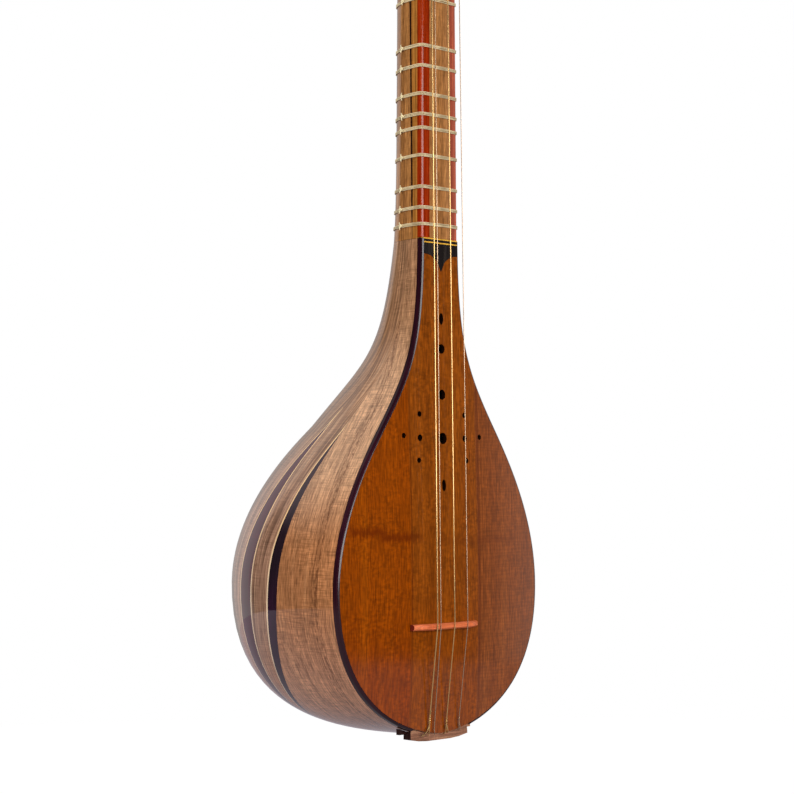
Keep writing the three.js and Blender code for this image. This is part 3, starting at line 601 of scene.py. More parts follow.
YELLOW_INLAY = wood(
    "yellow_inlay", (236, 180, 66), (248, 206, 108), (204, 140, 44),
    amounts=(0.3, 0.12, 0.1, 0.05), pores=0.15, seed=61.0)
BRIDGE_WOOD = wood(
    "bridge_wood", (212, 110, 67), (224, 142, 104), (150, 62, 36), "cross", band=(3, 60),
    amounts=(0.3, 0.15, 0.12, 0.1), pores=0.25, coat=0.15, rough=(0.45, 0.6), seed=65.0,
    marks=dark_end_faces)
HOLDER_WOOD = wood(
    "holder_wood", (160, 112, 88), (182, 140, 104), (92, 58, 42), "cross", band=(2, 40),
    streak=(0.8, 12), coat=0.25, rough=(0.4, 0.55), seed=69.0, marks=stain_and_shade_ends)
BONE = wood(
    "bone", (228, 218, 194), (240, 232, 214), (204, 190, 158), "cross",
    amounts=(0.3, 0.1, 0.06, 0.03), pores=0.1, coat=0.2, seed=77.0)
PEG_WOOD = wood("peg_wood", (112, 66, 40), (144, 94, 62), (72, 38, 22), seed=81.0)
SPRUCE = wood(
    "spruce", (200, 166, 120), (216, 188, 148), (170, 130, 84), coat=0.0, rough=(0.6, 0.75),
    seed=85.0)
SINEW = {"grain": "map", "band": (2, 20), "coat": 0.3, "coat_rough": 0.2}
GUT = wood(
    "gut", (230, 210, 168), (244, 230, 196), (172, 150, 112), streak=(0.4, 6),
    amounts=(0.5, 0.25, 0.2, 0.05), pores=0.1, seed=89.0, **SINEW)
KNOT_GUT = wood(
    "knot_gut", (246, 230, 184), (252, 244, 214), (212, 192, 146),
    amounts=(0.3, 0.12, 0.1, 0.05), pores=0.05, seed=93.0, **SINEW)
BRASS = wire("brass_wire", (216, 176, 114), (188, 144, 86), 0.35)
STEEL = wire("steel_wire", (190, 160, 130), (158, 126, 98), 0.3, rough=(0.2, 0.3))


# The bowl's shape, as the part has it


def profile(reach, joint_reach, tail, widest_height, below_widest, above_widest, waist,
            waist_height, waist_lean, below_waist, above_waist, below_joint, joint_slope):
    """Three cubic curves: tail to widest place, to the waist, and to the neck joint.

    The other lengths are shares of the reach across, and of the board's length up.
    """
    along = np.array([-sin(radians(waist_lean)), cos(radians(waist_lean))])
    down = np.array([joint_slope, -1])
    up = np.array([0, 1])
    widest = np.array([reach, widest_height * BOARD_LENGTH])
    narrow = np.array([waist * reach, waist_height * BOARD_LENGTH])
    joint = np.array([joint_reach, BOARD_LENGTH])
    return [
        (0 * up, np.array([tail * reach, 0]), widest - up * below_widest * BOARD_LENGTH, widest),
        (widest, widest + up * above_widest * BOARD_LENGTH,
         narrow - along * below_waist * BOARD_LENGTH, narrow),
        (narrow, narrow + along * above_waist * BOARD_LENGTH,
         joint + down * below_joint * BOARD_LENGTH, joint),
    ]


RIM = profile(
    BOARD_HALF_WIDTH, JOINT_HALF_WIDTH, tail=0.083, widest_height=0.293, below_widest=0.273,
    above_widest=0.151, waist=0.531, waist_height=0.6335, waist_lean=34.7, below_waist=0.0758,
    above_waist=0.1294, below_joint=0.2035, joint_slope=0.01)
BACK = profile(
    BOWL_DEPTH, JOINT_DEPTH, tail=0.3008, widest_height=0.2955, below_widest=0.3545,
    above_widest=0.178, waist=0.623, waist_height=0.6276, waist_lean=44.2, below_waist=0.0298,
    above_waist=0.1979, below_joint=0.2413, joint_slope=0.16)


def on_profile(curves, station, inset):
    """A place on a profile, moved inwards by an inset."""
    part = min(int(station), 2)
    a, b, c, d = curves[part]
    t = station - part
    s = 1 - t
    point = s ** 3 * a + 3 * s * s * t * b + 3 * s * t * t * c + t ** 3 * d
    slope = unit(s * s * (b - a) + 2 * s * t * (c - b) + t * t * (d - c))
    return point + inset * np.array([-slope[1], slope[0]])


def on_bowl(station, angles, inset):
    """Points of the bowl at angles in radians, from the left rim round the back to the right."""
    side, deep = on_profile(RIM, station, inset), on_profile(BACK, station, inset)
    across, inwards = np.cos(angles), np.sin(angles)
    height = side[1] * across ** 2 + deep[1] * inwards ** 2
    return np.stack([-side[0] * across, deep[0] * inwards, height], axis=-1)


def angle_behind_rim(station, distance, inset):
    return asin(distance / on_profile(BACK, station, inset)[0])


def station_of_width(half_width, inset, low, high):
    """The station between two others at which the rim, moved inwards, has a given half width."""
    rising = on_profile(RIM, high, inset)[0] > on_profile(RIM, low, inset)[0]
    for _ in range(40):
        middle = (low + high) / 2
        if (on_profile(RIM, middle, inset)[0] < half_width) == rising:
            low = middle
        else:
            high = middle
    return (low + high) / 2


# Ribs

FRONT_TIP = 1.9
BACK_TIP = 2.0
TIP_RUN_ON = 0.1
DARK_FRONT_ANGLE = 20.4
DARK_FRONT_SPAN = 4.0
DARK_BACK_ANGLE = 33.3
DARK_BACK_SPAN = 7.3
LINE_ANGLE = 0.62
LEAST_OPENING = 0.3
BACK_SEAM_ANGLE = 68
BINDING_DEPTH = 3.6
LOWEST_STATION = 0.06


def rib_opening(station):
    """Below the widest place the ribs curve round to meet at one place under the bowl."""
    below = max(0, (FLARE_STATION - station) / (FLARE_STATION - POLE_STATION))
    return sqrt(max(0, 1 - below * below))


def seam(start, tip=None, dark=0.0, lines=0.0):
    """The angle of a seam at each station, from a start and the spans of a dark rib and its lines.

    The dark rib narrows to its tip. The lines keep their width and close just beyond it.
    """
    def angle(station, inset=0):
        opening, degrees = rib_opening(station), start
        if tip:
            narrowing = max(0, 1 - max(0, (station - 1) / (tip - 1)) ** 2)
            closing = min(1, max(0, (tip + TIP_RUN_ON - station) / TIP_RUN_ON))
            even = closing / max(LEAST_OPENING, opening)
            degrees = start + dark * narrowing + lines * even
        return radians(90 - (90 - degrees) * opening)
    return angle


FRONT_START = seam(DARK_FRONT_ANGLE)
FRONT_DARK_END = seam(DARK_FRONT_ANGLE, FRONT_TIP, DARK_FRONT_SPAN)
FRONT_END = seam(DARK_FRONT_ANGLE, FRONT_TIP, DARK_FRONT_SPAN, LINE_ANGLE)
BACK_START = seam(DARK_BACK_ANGLE)
BACK_LINE_END = seam(DARK_BACK_ANGLE, BACK_TIP, 0, LINE_ANGLE)
BACK_DARK_END = seam(DARK_BACK_ANGLE, BACK_TIP, DARK_BACK_SPAN, LINE_ANGLE)
BACK_END = seam(DARK_BACK_ANGLE, BACK_TIP, DARK_BACK_SPAN, 2 * LINE_ANGLE)
SPINE_SEAM = seam(BACK_SEAM_ANGLE)
# Ribs behind the side rib: name, last station, first and last seam, columns, material and slot
RIBS = [
    ("rib_dark_front", FRONT_TIP, FRONT_START, FRONT_DARK_END, 5, DARK_RIB, "dark_wood"),
    ("line_front", FRONT_TIP + TIP_RUN_ON, FRONT_DARK_END, FRONT_END, 2, LIGHT_LINE,
     "yellow_inlay"),
    ("rib_narrow", JOINT_STATION, FRONT_END, BACK_START, 10, WALNUT_NARROW, "walnut"),
    ("line_back_front", BACK_TIP + TIP_RUN_ON, BACK_START, BACK_LINE_END, 2, LIGHT_LINE,
     "yellow_inlay"),
    ("rib_dark_back", BACK_TIP, BACK_LINE_END, BACK_DARK_END, 8, PLUM_RIB, "dark_wood"),
    ("line_back_rear", BACK_TIP + TIP_RUN_ON, BACK_DARK_END, BACK_END, 2, LIGHT_LINE,
     "yellow_inlay"),
    ("rib_back", JOINT_STATION, BACK_END, SPINE_SEAM, 16, WALNUT_BACK, "walnut"),
]


def rib_stations(last):
    """Stations from the pole up, close together where the ribs spread from it."""
    flare = FLARE_STATION - POLE_STATION
    low = [FLARE_STATION - flare * cos(a) for a in np.linspace(0, pi / 2, 26)]
    high = np.linspace(FLARE_STATION, last, max(12, int(34 * (last - FLARE_STATION))))
    return [*low, *high[1:]]


def rib(stations, start, end, columns, grain_column=None):
    """The shape of a rib. start and end give its angles at a station and an inset."""
    outer, inner = (
        np.array([on_bowl(t, np.linspace(start(t, inset), end(t, inset), columns), inset)
                  for t in stations]) for inset in (0, RIB_THICKNESS))
    return *shell(outer, inner), np.tile(grain_uv(outer, grain_column), (2, 1))


def add_ribs(name, shape, material):
    """A rib on the left and its mirror image on the right."""
    points, *rest = shape
    for side, turn in SIDES:
        add_piece(f"{name}_{side}", (points * (-turn, 1, 1), *rest), material)


def build_ribs():
    def side_start(station, inset):
        return angle_behind_rim(station, BINDING_DEPTH + GLUE_LINE, inset)

    def side_end(station, inset):
        return FRONT_START(station) if station > POLE_STATION else pi / 2

    low = np.linspace(LOWEST_STATION, POLE_STATION, 12)[:-1]
    add_ribs("rib_side", rib([*low, *rib_stations(JOINT_STATION)], side_start, side_end, 22, 0),
             WALNUT_SIDE)
    for name, last, start, end, columns, material, slot in RIBS:
        add_ribs(name, rib(rib_stations(last), start, end, columns), material)
    spine = rib(rib_stations(JOINT_STATION), SPINE_SEAM, lambda *at: pi - SPINE_SEAM(*at), 21)
    add_piece("rib_back_centre", spine, WALNUT_BACK)


# Binding

BINDING_THICKNESS = 1.3
BINDING_LEDGE = 2.9
EDGE_RADIUS = 1.6
HOLDER_HALF_WIDTH = 22.5


def build_binding():
    lean = asin(1 - BINDING_THICKNESS / EDGE_RADIUS)
    round_off = [(EDGE_RADIUS * (1 - sin(a)), EDGE_RADIUS * (1 - cos(a)))
                 for a in np.linspace(lean, pi / 2, 10)]
    seat = BOARD_THICKNESS + GLUE_LINE
    section = [*round_off, (0, BINDING_DEPTH), (BINDING_LEDGE, BINDING_DEPTH),
               (BINDING_LEDGE, seat), (BINDING_THICKNESS, seat)]
    start = station_of_width(HOLDER_HALF_WIDTH + SEAT_GAP, 0, 0, 1)
    for side, turn in SIDES:
        rings = []
        for station in np.linspace(start, JOINT_STATION, 110):
            places = [(*on_profile(RIM, station, inset), y) for inset, y in section]
            rings.append([(turn * x, y, z) for x, z, y in places])
        add_piece(f"binding_{side}", (*loft(rings), ring_uv(rings)), BINDING,
                  crease=50)


# Soundboard

PANEL_HALF_WIDTH = 26
BOARD_INSET = BINDING_THICKNESS + GLUE_LINE
# Distances from a panel's outer edge at which its rounded edge has points
EDGE_STEPS = [1.2, 0.9, 0.65, 0.45, 0.3, 0.18, 0.08, 0]
# Sound holes: across from the middle, height, and the radii across and along
HOLES = [
    (0, 219.9, 1.6, 3.1), (0, 203.9, 2.55, 2.55), (0, 179.6, 2.7, 2.7), (0, 156.4, 3.05, 3.05),
    (0, 131.6, 1.6, 3.1),
    (17.5, 169.0, 1.5, 1.5), (17.5, 156.5, 1.75, 1.75), (18.7, 144.7, 1.45, 1.45),
    (29.6, 157.5, 1.45, 1.45),
]
CUT_FRONT = -8
CUT_BACK = 6
CUT_ROOM = 4
PURFLING_WIDTH = 2.8
INLAY_HEIGHT = 5.6
INLAY_DROP = 9.2
INLAY_FRONT = -0.15
INLAY_HALF_WIDTH = JOINT_HALF_WIDTH - BINDING_THICKNESS - GLUE_LINE
PURFLING_TOP = BOARD_LENGTH + PURFLING_WIDTH / 6
PURFLING_LOW = PURFLING_TOP - PURFLING_WIDTH
INLAY_LOW = PURFLING_LOW - INLAY_HEIGHT
OGEE = [(1, 0), (0.77, 0.03), (0.55, 0.12), (0.35, 0.28), (0.2, 0.47), (0.1, 0.76), (0, 1)]
# Strips of the purfling: name, the shares of its width between which it lies, material and slot
PURFLING = [
    ("low", 0, 0.24, YELLOW_INLAY, "yellow_inlay"),
    ("black", 0.24, 0.76, BLACK_INLAY, "black_inlay"),
    ("high", 0.76, 1, YELLOW_INLAY, "yellow_inlay"),
]


def board_front(x, half_width):
    """Depth of the domed front, where the board has a given half width."""
    return -BOARD_DOME * (half_width * half_width - x * x) / (BOARD_HALF_WIDTH ** 2)


def edge_roll(x, half_width):
    """How far the soundboard's outer edge is rounded back, on one round with the binding."""
    off = EDGE_RADIUS - BOARD_INSET - (half_width - abs(x))
    return EDGE_RADIUS - sqrt(EDGE_RADIUS ** 2 - max(0, off) ** 2)


def cut_out(piece, cutter_points, cutter_faces):
    """Cuts a closed body out of a piece."""
    mesh = new_mesh("cutter", cutter_points, cutter_faces)
    finish_mesh(mesh)
    cutter = linked("cutter", mesh)
    cut = piece.modifiers.new("cut", "BOOLEAN")
    cut.operation, cut.solver, cut.object = "DIFFERENCE", "EXACT", cutter
    bpy.context.view_layer.update()
    evaluated = piece.evaluated_get(bpy.context.evaluated_depsgraph_get())
    result = bpy.data.meshes.new_from_object(evaluated)
    piece.modifiers.remove(cut)
    piece.data = result
    smooth(result)
    bpy.data.objects.remove(cutter)


def drills(places, front=CUT_FRONT, back=CUT_BACK):
    """Cutters along Y, each given by X, Z and its radii across and up."""
    return combine(*(
        plate([(x + across * cos(a), z + up * sin(a)) for a in around(32)], front, back)
        for x, z, across, up in places))


def ogee(drop):
    """The inlay's lower edge from left to right, as a smooth double curve."""
    half = smooth_path([(-across * INLAY_HALF_WIDTH, 0, INLAY_LOW - drop - down * INLAY_DROP)
                        for across, down in OGEE], 4)
    return [(p[0], p[2]) for p in half] + [(-p[0], p[2]) for p in half[-2::-1]]


def panel(stations, start, end, columns):
    """A panel of the soundboard. start and end give its edges at a half width of the board."""
    def grid(behind):
        rows = []
        for t in stations:
            half_width, z = on_profile(RIM, t, BOARD_INSET)
            first, last = start(half_width), end(half_width)
            room = np.clip((last - first) / 4, -1, 1)
            row = [*np.linspace(first, last - EDGE_STEPS[0] * room, columns),
                   *[last - step * room for step in EDGE_STEPS]]
            rows.append([(x, board_front(x, half_width) + (behind or edge_roll(x, half_width)), z)
                         for x in row])
        return np.array(rows)
    return shell(grid(0), grid(BOARD_THICKNESS))


def build_board():
    low = station_of_width(PANEL_HALF_WIDTH, BOARD_INSET, 0, 1)
    high = station_of_width(PANEL_HALF_WIDTH, BOARD_INSET, 1, JOINT_STATION)
    whole = sorted([*np.linspace(0, JOINT_STATION, 90), low, high])
    wing = [t for t in whole if low <= t <= high]
    def joint(half_width):
        return min(half_width, PANEL_HALF_WIDTH)

    centre = panel(whole, lambda w: -joint(w), joint, 17)
    piece = add_piece("soundboard_centre", centre, BOARD_CENTRE)
    inner = [hole for hole in HOLES if hole[0] < PANEL_HALF_WIDTH]
    cut_out(piece, *drills([*inner, *[(-x, *rest) for x, *rest in inner if x]]))
    w, low, high = JOINT_HALF_WIDTH + CUT_ROOM, INLAY_LOW - GLUE_LINE, BOARD_LENGTH + CUT_ROOM
    outline = [(-w, low), *ogee(GLUE_LINE), (w, low), (w, high), (-w, high)]
    cut_out(piece, *plate(outline, CUT_FRONT / 2, CUT_BACK))
    for (side, turn), material in zip(SIDES, (BOARD_LEFT, BOARD_RIGHT)):
        shape = panel(wing, lambda w: turn * PANEL_HALF_WIDTH, lambda w: turn * w, 13)
        piece = add_piece(f"soundboard_{side}", shape, material)
        cut_out(piece, *drills([(turn * x, *rest) for x, *rest in HOLES if x > PANEL_HALF_WIDTH]))


def build_inlay():
    w = INLAY_HALF_WIDTH
    outline = [*ogee(0), (w, PURFLING_LOW), (-w, PURFLING_LOW)]
    add_piece("joint_inlay", plate(outline, INLAY_FRONT, BOARD_THICKNESS), BLACK_INLAY)
    for name, *shares, material, slot in PURFLING:
        low, high = (PURFLING_LOW + GLUE_LINE + share * (PURFLING_WIDTH - GLUE_LINE)
                     for share in shares)
        outline = [(-w, low), (w, low), (w, high), (-w, high)]
        add_piece(f"joint_purfling_{name}", plate(outline, INLAY_FRONT, BOARD_THICKNESS), material,
                  stands_for="joint_purfling" if name == "black" else None)


# Neck and fingerboard

SLAB_THICKNESS = 3.6
NECK_FRONT = SLAB_THICKNESS + GLUE_LINE
FLARE_DEPTH = 1.8
FLARE_LENGTH = 18
NUT_WIDTH = 3.2
NUT_RISE = 1.5
NECK_END = NUT_HEIGHT + NUT_WIDTH / 2 + GLUE_LINE
SLAB_END = NUT_HEIGHT - NUT_WIDTH / 2 - GLUE_LINE
LINE_WIDTH = 1.4
EDGE_WIDTH = 5.8
CORNER_RADIUS = 1.9
# The fingerboard's front falls back by this share of the square of X
CROWN = 0.0035
# The neck's sections lie close together up to here from the joint, where it flares
FLARED_LENGTH = 80
# The tenon in the bowl: stations of its sections, and their rise
TENON = [(2.7, 0), (2.8, 0), (2.9, 0), (JOINT_STATION, 0), (JOINT_STATION, 3)]


def neck_half_width(z):
    return JOINT_HALF_WIDTH + (NUT_HALF_WIDTH - JOINT_HALF_WIDTH) * (z - BOARD_LENGTH) / NECK_LENGTH


def neck_depth(z):
    slope = (NUT_DEPTH - JOINT_DEPTH + FLARE_DEPTH) / NECK_LENGTH
    flare = FLARE_DEPTH * exp(-(z - BOARD_LENGTH) / FLARE_LENGTH)
    return JOINT_DEPTH - FLARE_DEPTH + slope * (z - BOARD_LENGTH) + flare


def line_front(z):
    """Depth of the front edge of the black line in the neck's side."""
    return np.interp(z, [BOARD_LENGTH, 300, 390, NUT_HEIGHT], [7.2, 7.5, 8.8, 9.4])


def line_back(z):
    return line_front(z) + LINE_WIDTH


def neck_layer(z, front, back=None):
    """The part of the neck's round section between two depths, or behind one."""
    half_width, depth = neck_half_width(z), neck_depth(z)
    start = asin(front / depth)
    if back is None:
        angles = np.linspace(start, pi - start, 40)
    else:
        left = np.linspace(start, asin(back / depth), 6)
        angles = np.concatenate([left, pi - left[::-1]])
    return [(-half_width * cos(a), depth * sin(a), z) for a in angles]


def build_neck():
    flared = BOARD_LENGTH + FLARED_LENGTH
    heights = [*np.linspace(BOARD_LENGTH + GLUE_LINE, flared, 24),
               *np.linspace(flared + 10, NECK_END, 30)]
    layers = [("neck", line_back, None, NECK_WALNUT, "neck_walnut"),
              ("neck_side_line", line_front, line_back, NECK_LINE, "black_inlay"),
              ("neck_front_layer", lambda z: NECK_FRONT, line_front, NECK_GOLD, "neck_walnut")]
    for name, front, back, material, slot in layers:
        rings = [neck_layer(z, front(z), back and back(z)) for z in heights]
        add_piece(name, loft(rings), material)
    inset = RIB_THICKNESS + SEAT_GAP
    rings = []
    for station, rise in TENON:
        start = angle_behind_rim(station, NECK_FRONT, inset)
        rings.append(on_bowl(station, np.linspace(start, pi - start, 24), inset) + (0, 0, rise))
    add_piece("neck_tenon", loft(rings), NECK_WALNUT)


def crowned(start, end, count):
    """Points of the fingerboard's front between two places across."""
    return [(x, CROWN * x * x) for x in np.linspace(start, end, count)]


def slab(section):
    """The length of the fingerboard with a section that follows the neck's half width."""
    return loft([[(x, y, z) for x, y in section(neck_half_width(z))]
                 for z in np.linspace(PURFLING_TOP + GLUE_LINE, SLAB_END, 30)])


def round_corner(flat, lift, count):
    """The fingerboard's rounded right edge, from its flat front, at a distance off it."""
    radius = CORNER_RADIUS + lift
    return [(flat + radius * sin(a), CROWN * flat ** 2 + CORNER_RADIUS - radius * cos(a))
            for a in np.linspace(0, pi / 2, count)]


def build_fingerboard():
    def edge(half_width):
        inside, flat = half_width - EDGE_WIDTH, half_width - CORNER_RADIUS
        return [*crowned(inside, flat, 5)[:-1], *round_corner(flat, 0, 9),
                (half_width, SLAB_THICKNESS), (inside, SLAB_THICKNESS)]

    def middle(half_width):
        inside = half_width - EDGE_WIDTH
        return [*crowned(-inside, inside, 9), (inside, SLAB_THICKNESS),
                (-inside, SLAB_THICKNESS)]

    points, faces = slab(edge)
    for side, turn in SIDES:
        add_piece(f"fingerboard_edge_{side}", (points * (turn, 1, 1), faces), PADAUK,
                  crease=40)
    add_piece("fingerboard_centre", slab(middle), FINGERBOARD)


# Strings: name, radius, X at the bridge and at the nut, wire, and its peg

BRIDGE_LEFT = -27
BRIDGE_RIGHT = 23
BRIDGE_RISE = 5.6
BRIDGE_TOP = board_front(0, BOARD_HALF_WIDTH) - BRIDGE_RISE
HEAD_DROP = 2.5
PEG_THICK = 3.5
PEG_THIN = 3.1
PEG_TAIL = 2
WINDING_LENGTH = 11
HEAD_SWELL = 1.12
SIDE_REACH = HEAD_SWELL * NUT_HALF_WIDTH
STRINGS = [
    ("bass", 0.34, -13.3, -11.4, BRASS, "brass_wire", "side_1"),
    ("third", 0.24, -10.6, -9.0, STEEL, "steel_wire", "side_2"),
    ("second", 0.3, 0.1, 0.2, BRASS, "brass_wire", "front_2"),
    ("first", 0.22, 10.4, 9.0, STEEL, "steel_wire", "front_1"),
]
# End loops: where a string crosses the board's end, the heights between which it is laid up, and
# the place of each leg's end across and up
LOOPS = {
    "bass": (-11.8, 11, 2.9, (-14.8, 0.6), (-10.2, 0.5)),
    "third": (-7.6, 1, 1, (-5.4, 0.5)),
    "second": (1.2, 7.5, 4.6, (1.6, 0.6), (4.2, 1.2)),
    "first": (11.3, 6, 4.2, (12.3, 1.3), (13.8, 1.5)),
}
EDGE_CLEARANCE = 0.8
LAY_LENGTH = 2.2
LEG_DEPTH = 1.2
# Where a string bends on its way from the nut to a side peg: shares of the way up and out
BEND_UP = 0.45
BEND_OUT = 0.8
# Pegs: X or depth, and height, of each axis
PEGS = {
    "front_1": (5.52, NECK_END + 0.34 * HEAD_LENGTH),
    "front_2": (-3.6, NECK_END + 0.68 * HEAD_LENGTH),
    "side_1": (0.5 * NUT_DEPTH, NECK_END + 0.5 * HEAD_LENGTH),
    "side_2": (0.5 * NUT_DEPTH, NECK_END + 0.84 * HEAD_LENGTH),
}


def board_edge_height(x):
    return on_profile(RIM, station_of_width(abs(x), BOARD_INSET, 0, 1), BOARD_INSET)[1]


def peg_route(peg, nut_x, radius):
    """Corners of a string from the nut to the peg that takes it."""
    across, height = PEGS[peg]
    away = PEG_THICK + SEAT_GAP + radius
    if peg.startswith("front"):
        return [(across + away, HEAD_DROP - WINDING_LENGTH / 2, height)]
    out = SIDE_REACH + SEAT_GAP + 2 * radius
    bend = NUT_HEIGHT + (height - NUT_HEIGHT) * BEND_UP
    return [(nut_x - (out + nut_x) * BEND_OUT, HEAD_DROP - SEAT_GAP - 2 * radius, bend),
            (-out - WINDING_LENGTH / 3, across - away, height)]


def straight_path(corners, step=12):
    """Points along straight runs, with corners kept."""
    path = []
    for a, b in zip(corners, corners[1:]):
        a, b = np.array(a, float), np.array(b, float)
        count = max(2, int(np.linalg.norm(b - a) / step))
        path += [a + (b - a) * i / count for i in range(count)]
    return np.array([*path, corners[-1]], float)


def twisted(start, end, radius, turns):
    """Two strands laid round each other between two points."""
    along = unit(end - start)
    side = unit(np.cross(along, (0, 1, 0)))
    other = np.cross(along, side)
    parts = []
    for phase in (0, pi):
        path = []
        for t in np.linspace(0, 1, int(turns * 12)):
            a = 2 * pi * turns * t + phase
            path.append(start + (end - start) * t + radius * (cos(a) * side + sin(a) * other))
        parts.append(tube(path, radius * 0.85, 7))
    return parts


def build_strings():
    """Each string ends in a loop: laid up below the bridge, then its legs to the holder."""
    for name, radius, bridge_x, nut_x, material, slot, peg in STRINGS:
        over_x, laid, split, *legs = LOOPS[name]
        over = np.array((over_x, -EDGE_CLEARANCE, board_edge_height(over_x) + SEAT_GAP))
        rest = np.array((bridge_x, BRIDGE_TOP - SEAT_GAP - radius, BRIDGE_HEIGHT))
        top, start = (over + (rest - over) * height / (rest[2] - over[2])
                      for height in (laid, split))
        corners = [top, rest, (nut_x, -NUT_RISE - SEAT_GAP - radius, NUT_HEIGHT),
                   *peg_route(peg, nut_x, radius)]
        parts = [tube(straight_path(corners), radius, 10)]
        if laid > split:
            parts += twisted(top, start, radius, (laid - split) / LAY_LENGTH)
        for end_x, end_z in legs:
            share = split / (split + over[2] - end_z)
            over_leg = (start[0] + (end_x - start[0]) * share * 0.8, over[1], over[2])
            path = smooth_path([start, over_leg, (end_x, LEG_DEPTH, end_z)], 6)
            parts.append(tube(path, radius * 0.9))
        add_piece(f"string_{name}", combine(*parts), material)


# Pegs

KNOB_HALF_LENGTH = 11
KNOB_HALF_WIDTH = 10.5
KNOB_HALF_THICKNESS = 3.8
DISH_SIZE = 6.5
COLLAR_WIDTH = 2.5
COLLAR_RADIUS = 3.9
COLLAR_SWELL = 1.1
KNOB_OFF = 13.6
BALL_RADIUS = 2.4
# A turned body's flat ends are this small
AXIS = 0.02
# The stem, hidden in the knob above: radius and height above the collar
STEM = [(3.0, 0.8), (2.8, 3), (3.2, KNOB_OFF - 8), (3.0, KNOB_OFF), (AXIS, KNOB_OFF)]
COIL_TURNS = 5
COIL_PITCH = 2.1


def peg_place(peg, points, *rest):
    """A shape that points along +Z from the peg's thin end, set into the head."""
    across, height = PEGS[peg]
    x, y, z = np.transpose(points)
    if peg.startswith("front"):
        placed = (across + x, NUT_DEPTH + PEG_TAIL - z, height + y)
    else:
        placed = (SIDE_REACH + PEG_TAIL - z, across + y, height + x)
    return np.transpose(placed), *rest


def peg_length(peg):
    if peg.startswith("front"):
        return NUT_DEPTH + PEG_TAIL - HEAD_DROP + WINDING_LENGTH + SEAT_GAP
    return 2 * SIDE_REACH + PEG_TAIL + WINDING_LENGTH + SEAT_GAP


def knob(middle):
    """A flat thumb knob: a rounded heart outline with a dished face on either side."""
    rings = []
    for b in np.linspace(-pi / 2 + 0.08, pi / 2 - 0.08, 15):
        reach = cos(b) ** 0.55
        ring = []
        for a in around(40):
            x, z = KNOB_HALF_WIDTH * cos(a) * reach, KNOB_HALF_LENGTH * sin(a) * reach
            x *= 1 - 0.12 * (1 - sin(a)) / 2
            dish = 1 - 0.28 * exp(-((x / DISH_SIZE) ** 2 + (z / DISH_SIZE) ** 2))
            ring.append((x, KNOB_HALF_THICKNESS * sin(b) * dish, middle + z))
        rings.append(ring)
    return loft(rings)


def build_pegs():
    for peg in PEGS:
        length, half = peg_length(peg), COLLAR_WIDTH / 2
        collar_end = length + COLLAR_WIDTH
        middle = collar_end + KNOB_OFF
        bead = [(COLLAR_RADIUS + COLLAR_SWELL * sin(a), length + half - half * cos(a))
                for a in np.linspace(0, pi, 9)]
        shaft = lathe([(AXIS, 0.0), (PEG_THIN - 0.5, 0.0), (PEG_THIN, 0.5),
                       (PEG_THICK, length - 0.1), *bead,
                       *[(radius, collar_end + up) for radius, up in STEM]])
        body = f"peg_{peg}"
        add_piece(body, peg_place(peg, *combine(shaft, knob(middle))), PEG_WOOD, body,
                  crease=50)
        top = middle + KNOB_HALF_LENGTH
        ball = [(AXIS, top - 1.0), *[
            (BALL_RADIUS * sin(a), top + BALL_RADIUS / 2 - BALL_RADIUS * cos(a))
            for a in np.linspace(0.4, pi - 0.02, 12)]]
        add_piece(f"{body}_finial", peg_place(peg, *lathe(ball, 20)), BONE, body)


def build_windings():
    for name, radius, _, _, material, slot, peg in STRINGS:
        start = peg_length(peg) - WINDING_LENGTH / 2 - 2
        if peg.startswith("side"):
            start = peg_length(peg) - WINDING_LENGTH + WINDING_LENGTH / 3 + 2 * radius
        off = PEG_THICK + 0.05 + radius
        coil = [(off * cos(a), off * sin(a), start + (COIL_PITCH * radius) * a / (2 * pi))
                for a in np.linspace(0, COIL_TURNS * 2 * pi, COIL_TURNS * 24)]
        add_piece(f"winding_{name}", peg_place(peg, *tube(coil, radius)), material,
                  f"peg_{peg}")


# Head: share of its length, width and depth beside the neck's, and how far its front lies back

HEAD_SHAPE = [
    (0, 1, 1, 0), (0.08, 1.02, 1, 0), (0.4, 1.09, 0.98, 0), (0.8, 1.12, 0.94, 0),
    (0.92, 0.98, 0.85, 0.06), (0.98, 0.66, 0.7, 0.18), (1, 0.36, 0.58, 0.3),
]


def build_head():
    depth, half_width = neck_depth(NECK_END), neck_half_width(NECK_END)
    ups, *shape = zip(*HEAD_SHAPE)
    rings = []
    for up in [*np.linspace(0, 0.8, 17), *np.linspace(0.82, 1, 13)]:
        wide, deep, front = (np.interp(up, ups, column) for column in shape)
        near = HEAD_DROP + front * depth
        rings.append([(-wide * half_width * cos(a), near + (deep * depth - near) * sin(a),
                       NECK_END + up * HEAD_LENGTH) for a in np.linspace(0, pi, 33)])
    piece = add_piece("head", loft(rings), NECK_WALNUT)
    hole = PEG_THICK + SEAT_GAP
    fronts = [(*PEGS[peg], hole, hole) for peg in ("front_1", "front_2")]
    cut_out(piece, *drills(fronts, -6, NUT_DEPTH + 6))
    for peg in ("side_1", "side_2"):
        points, faces = drills([(*PEGS[peg], hole, hole)], -30, 30)
        cut_out(piece, points[:, [1, 0, 2]], faces)


CREST_RISE = 0.45
GROOVE_SPREAD = 1.3


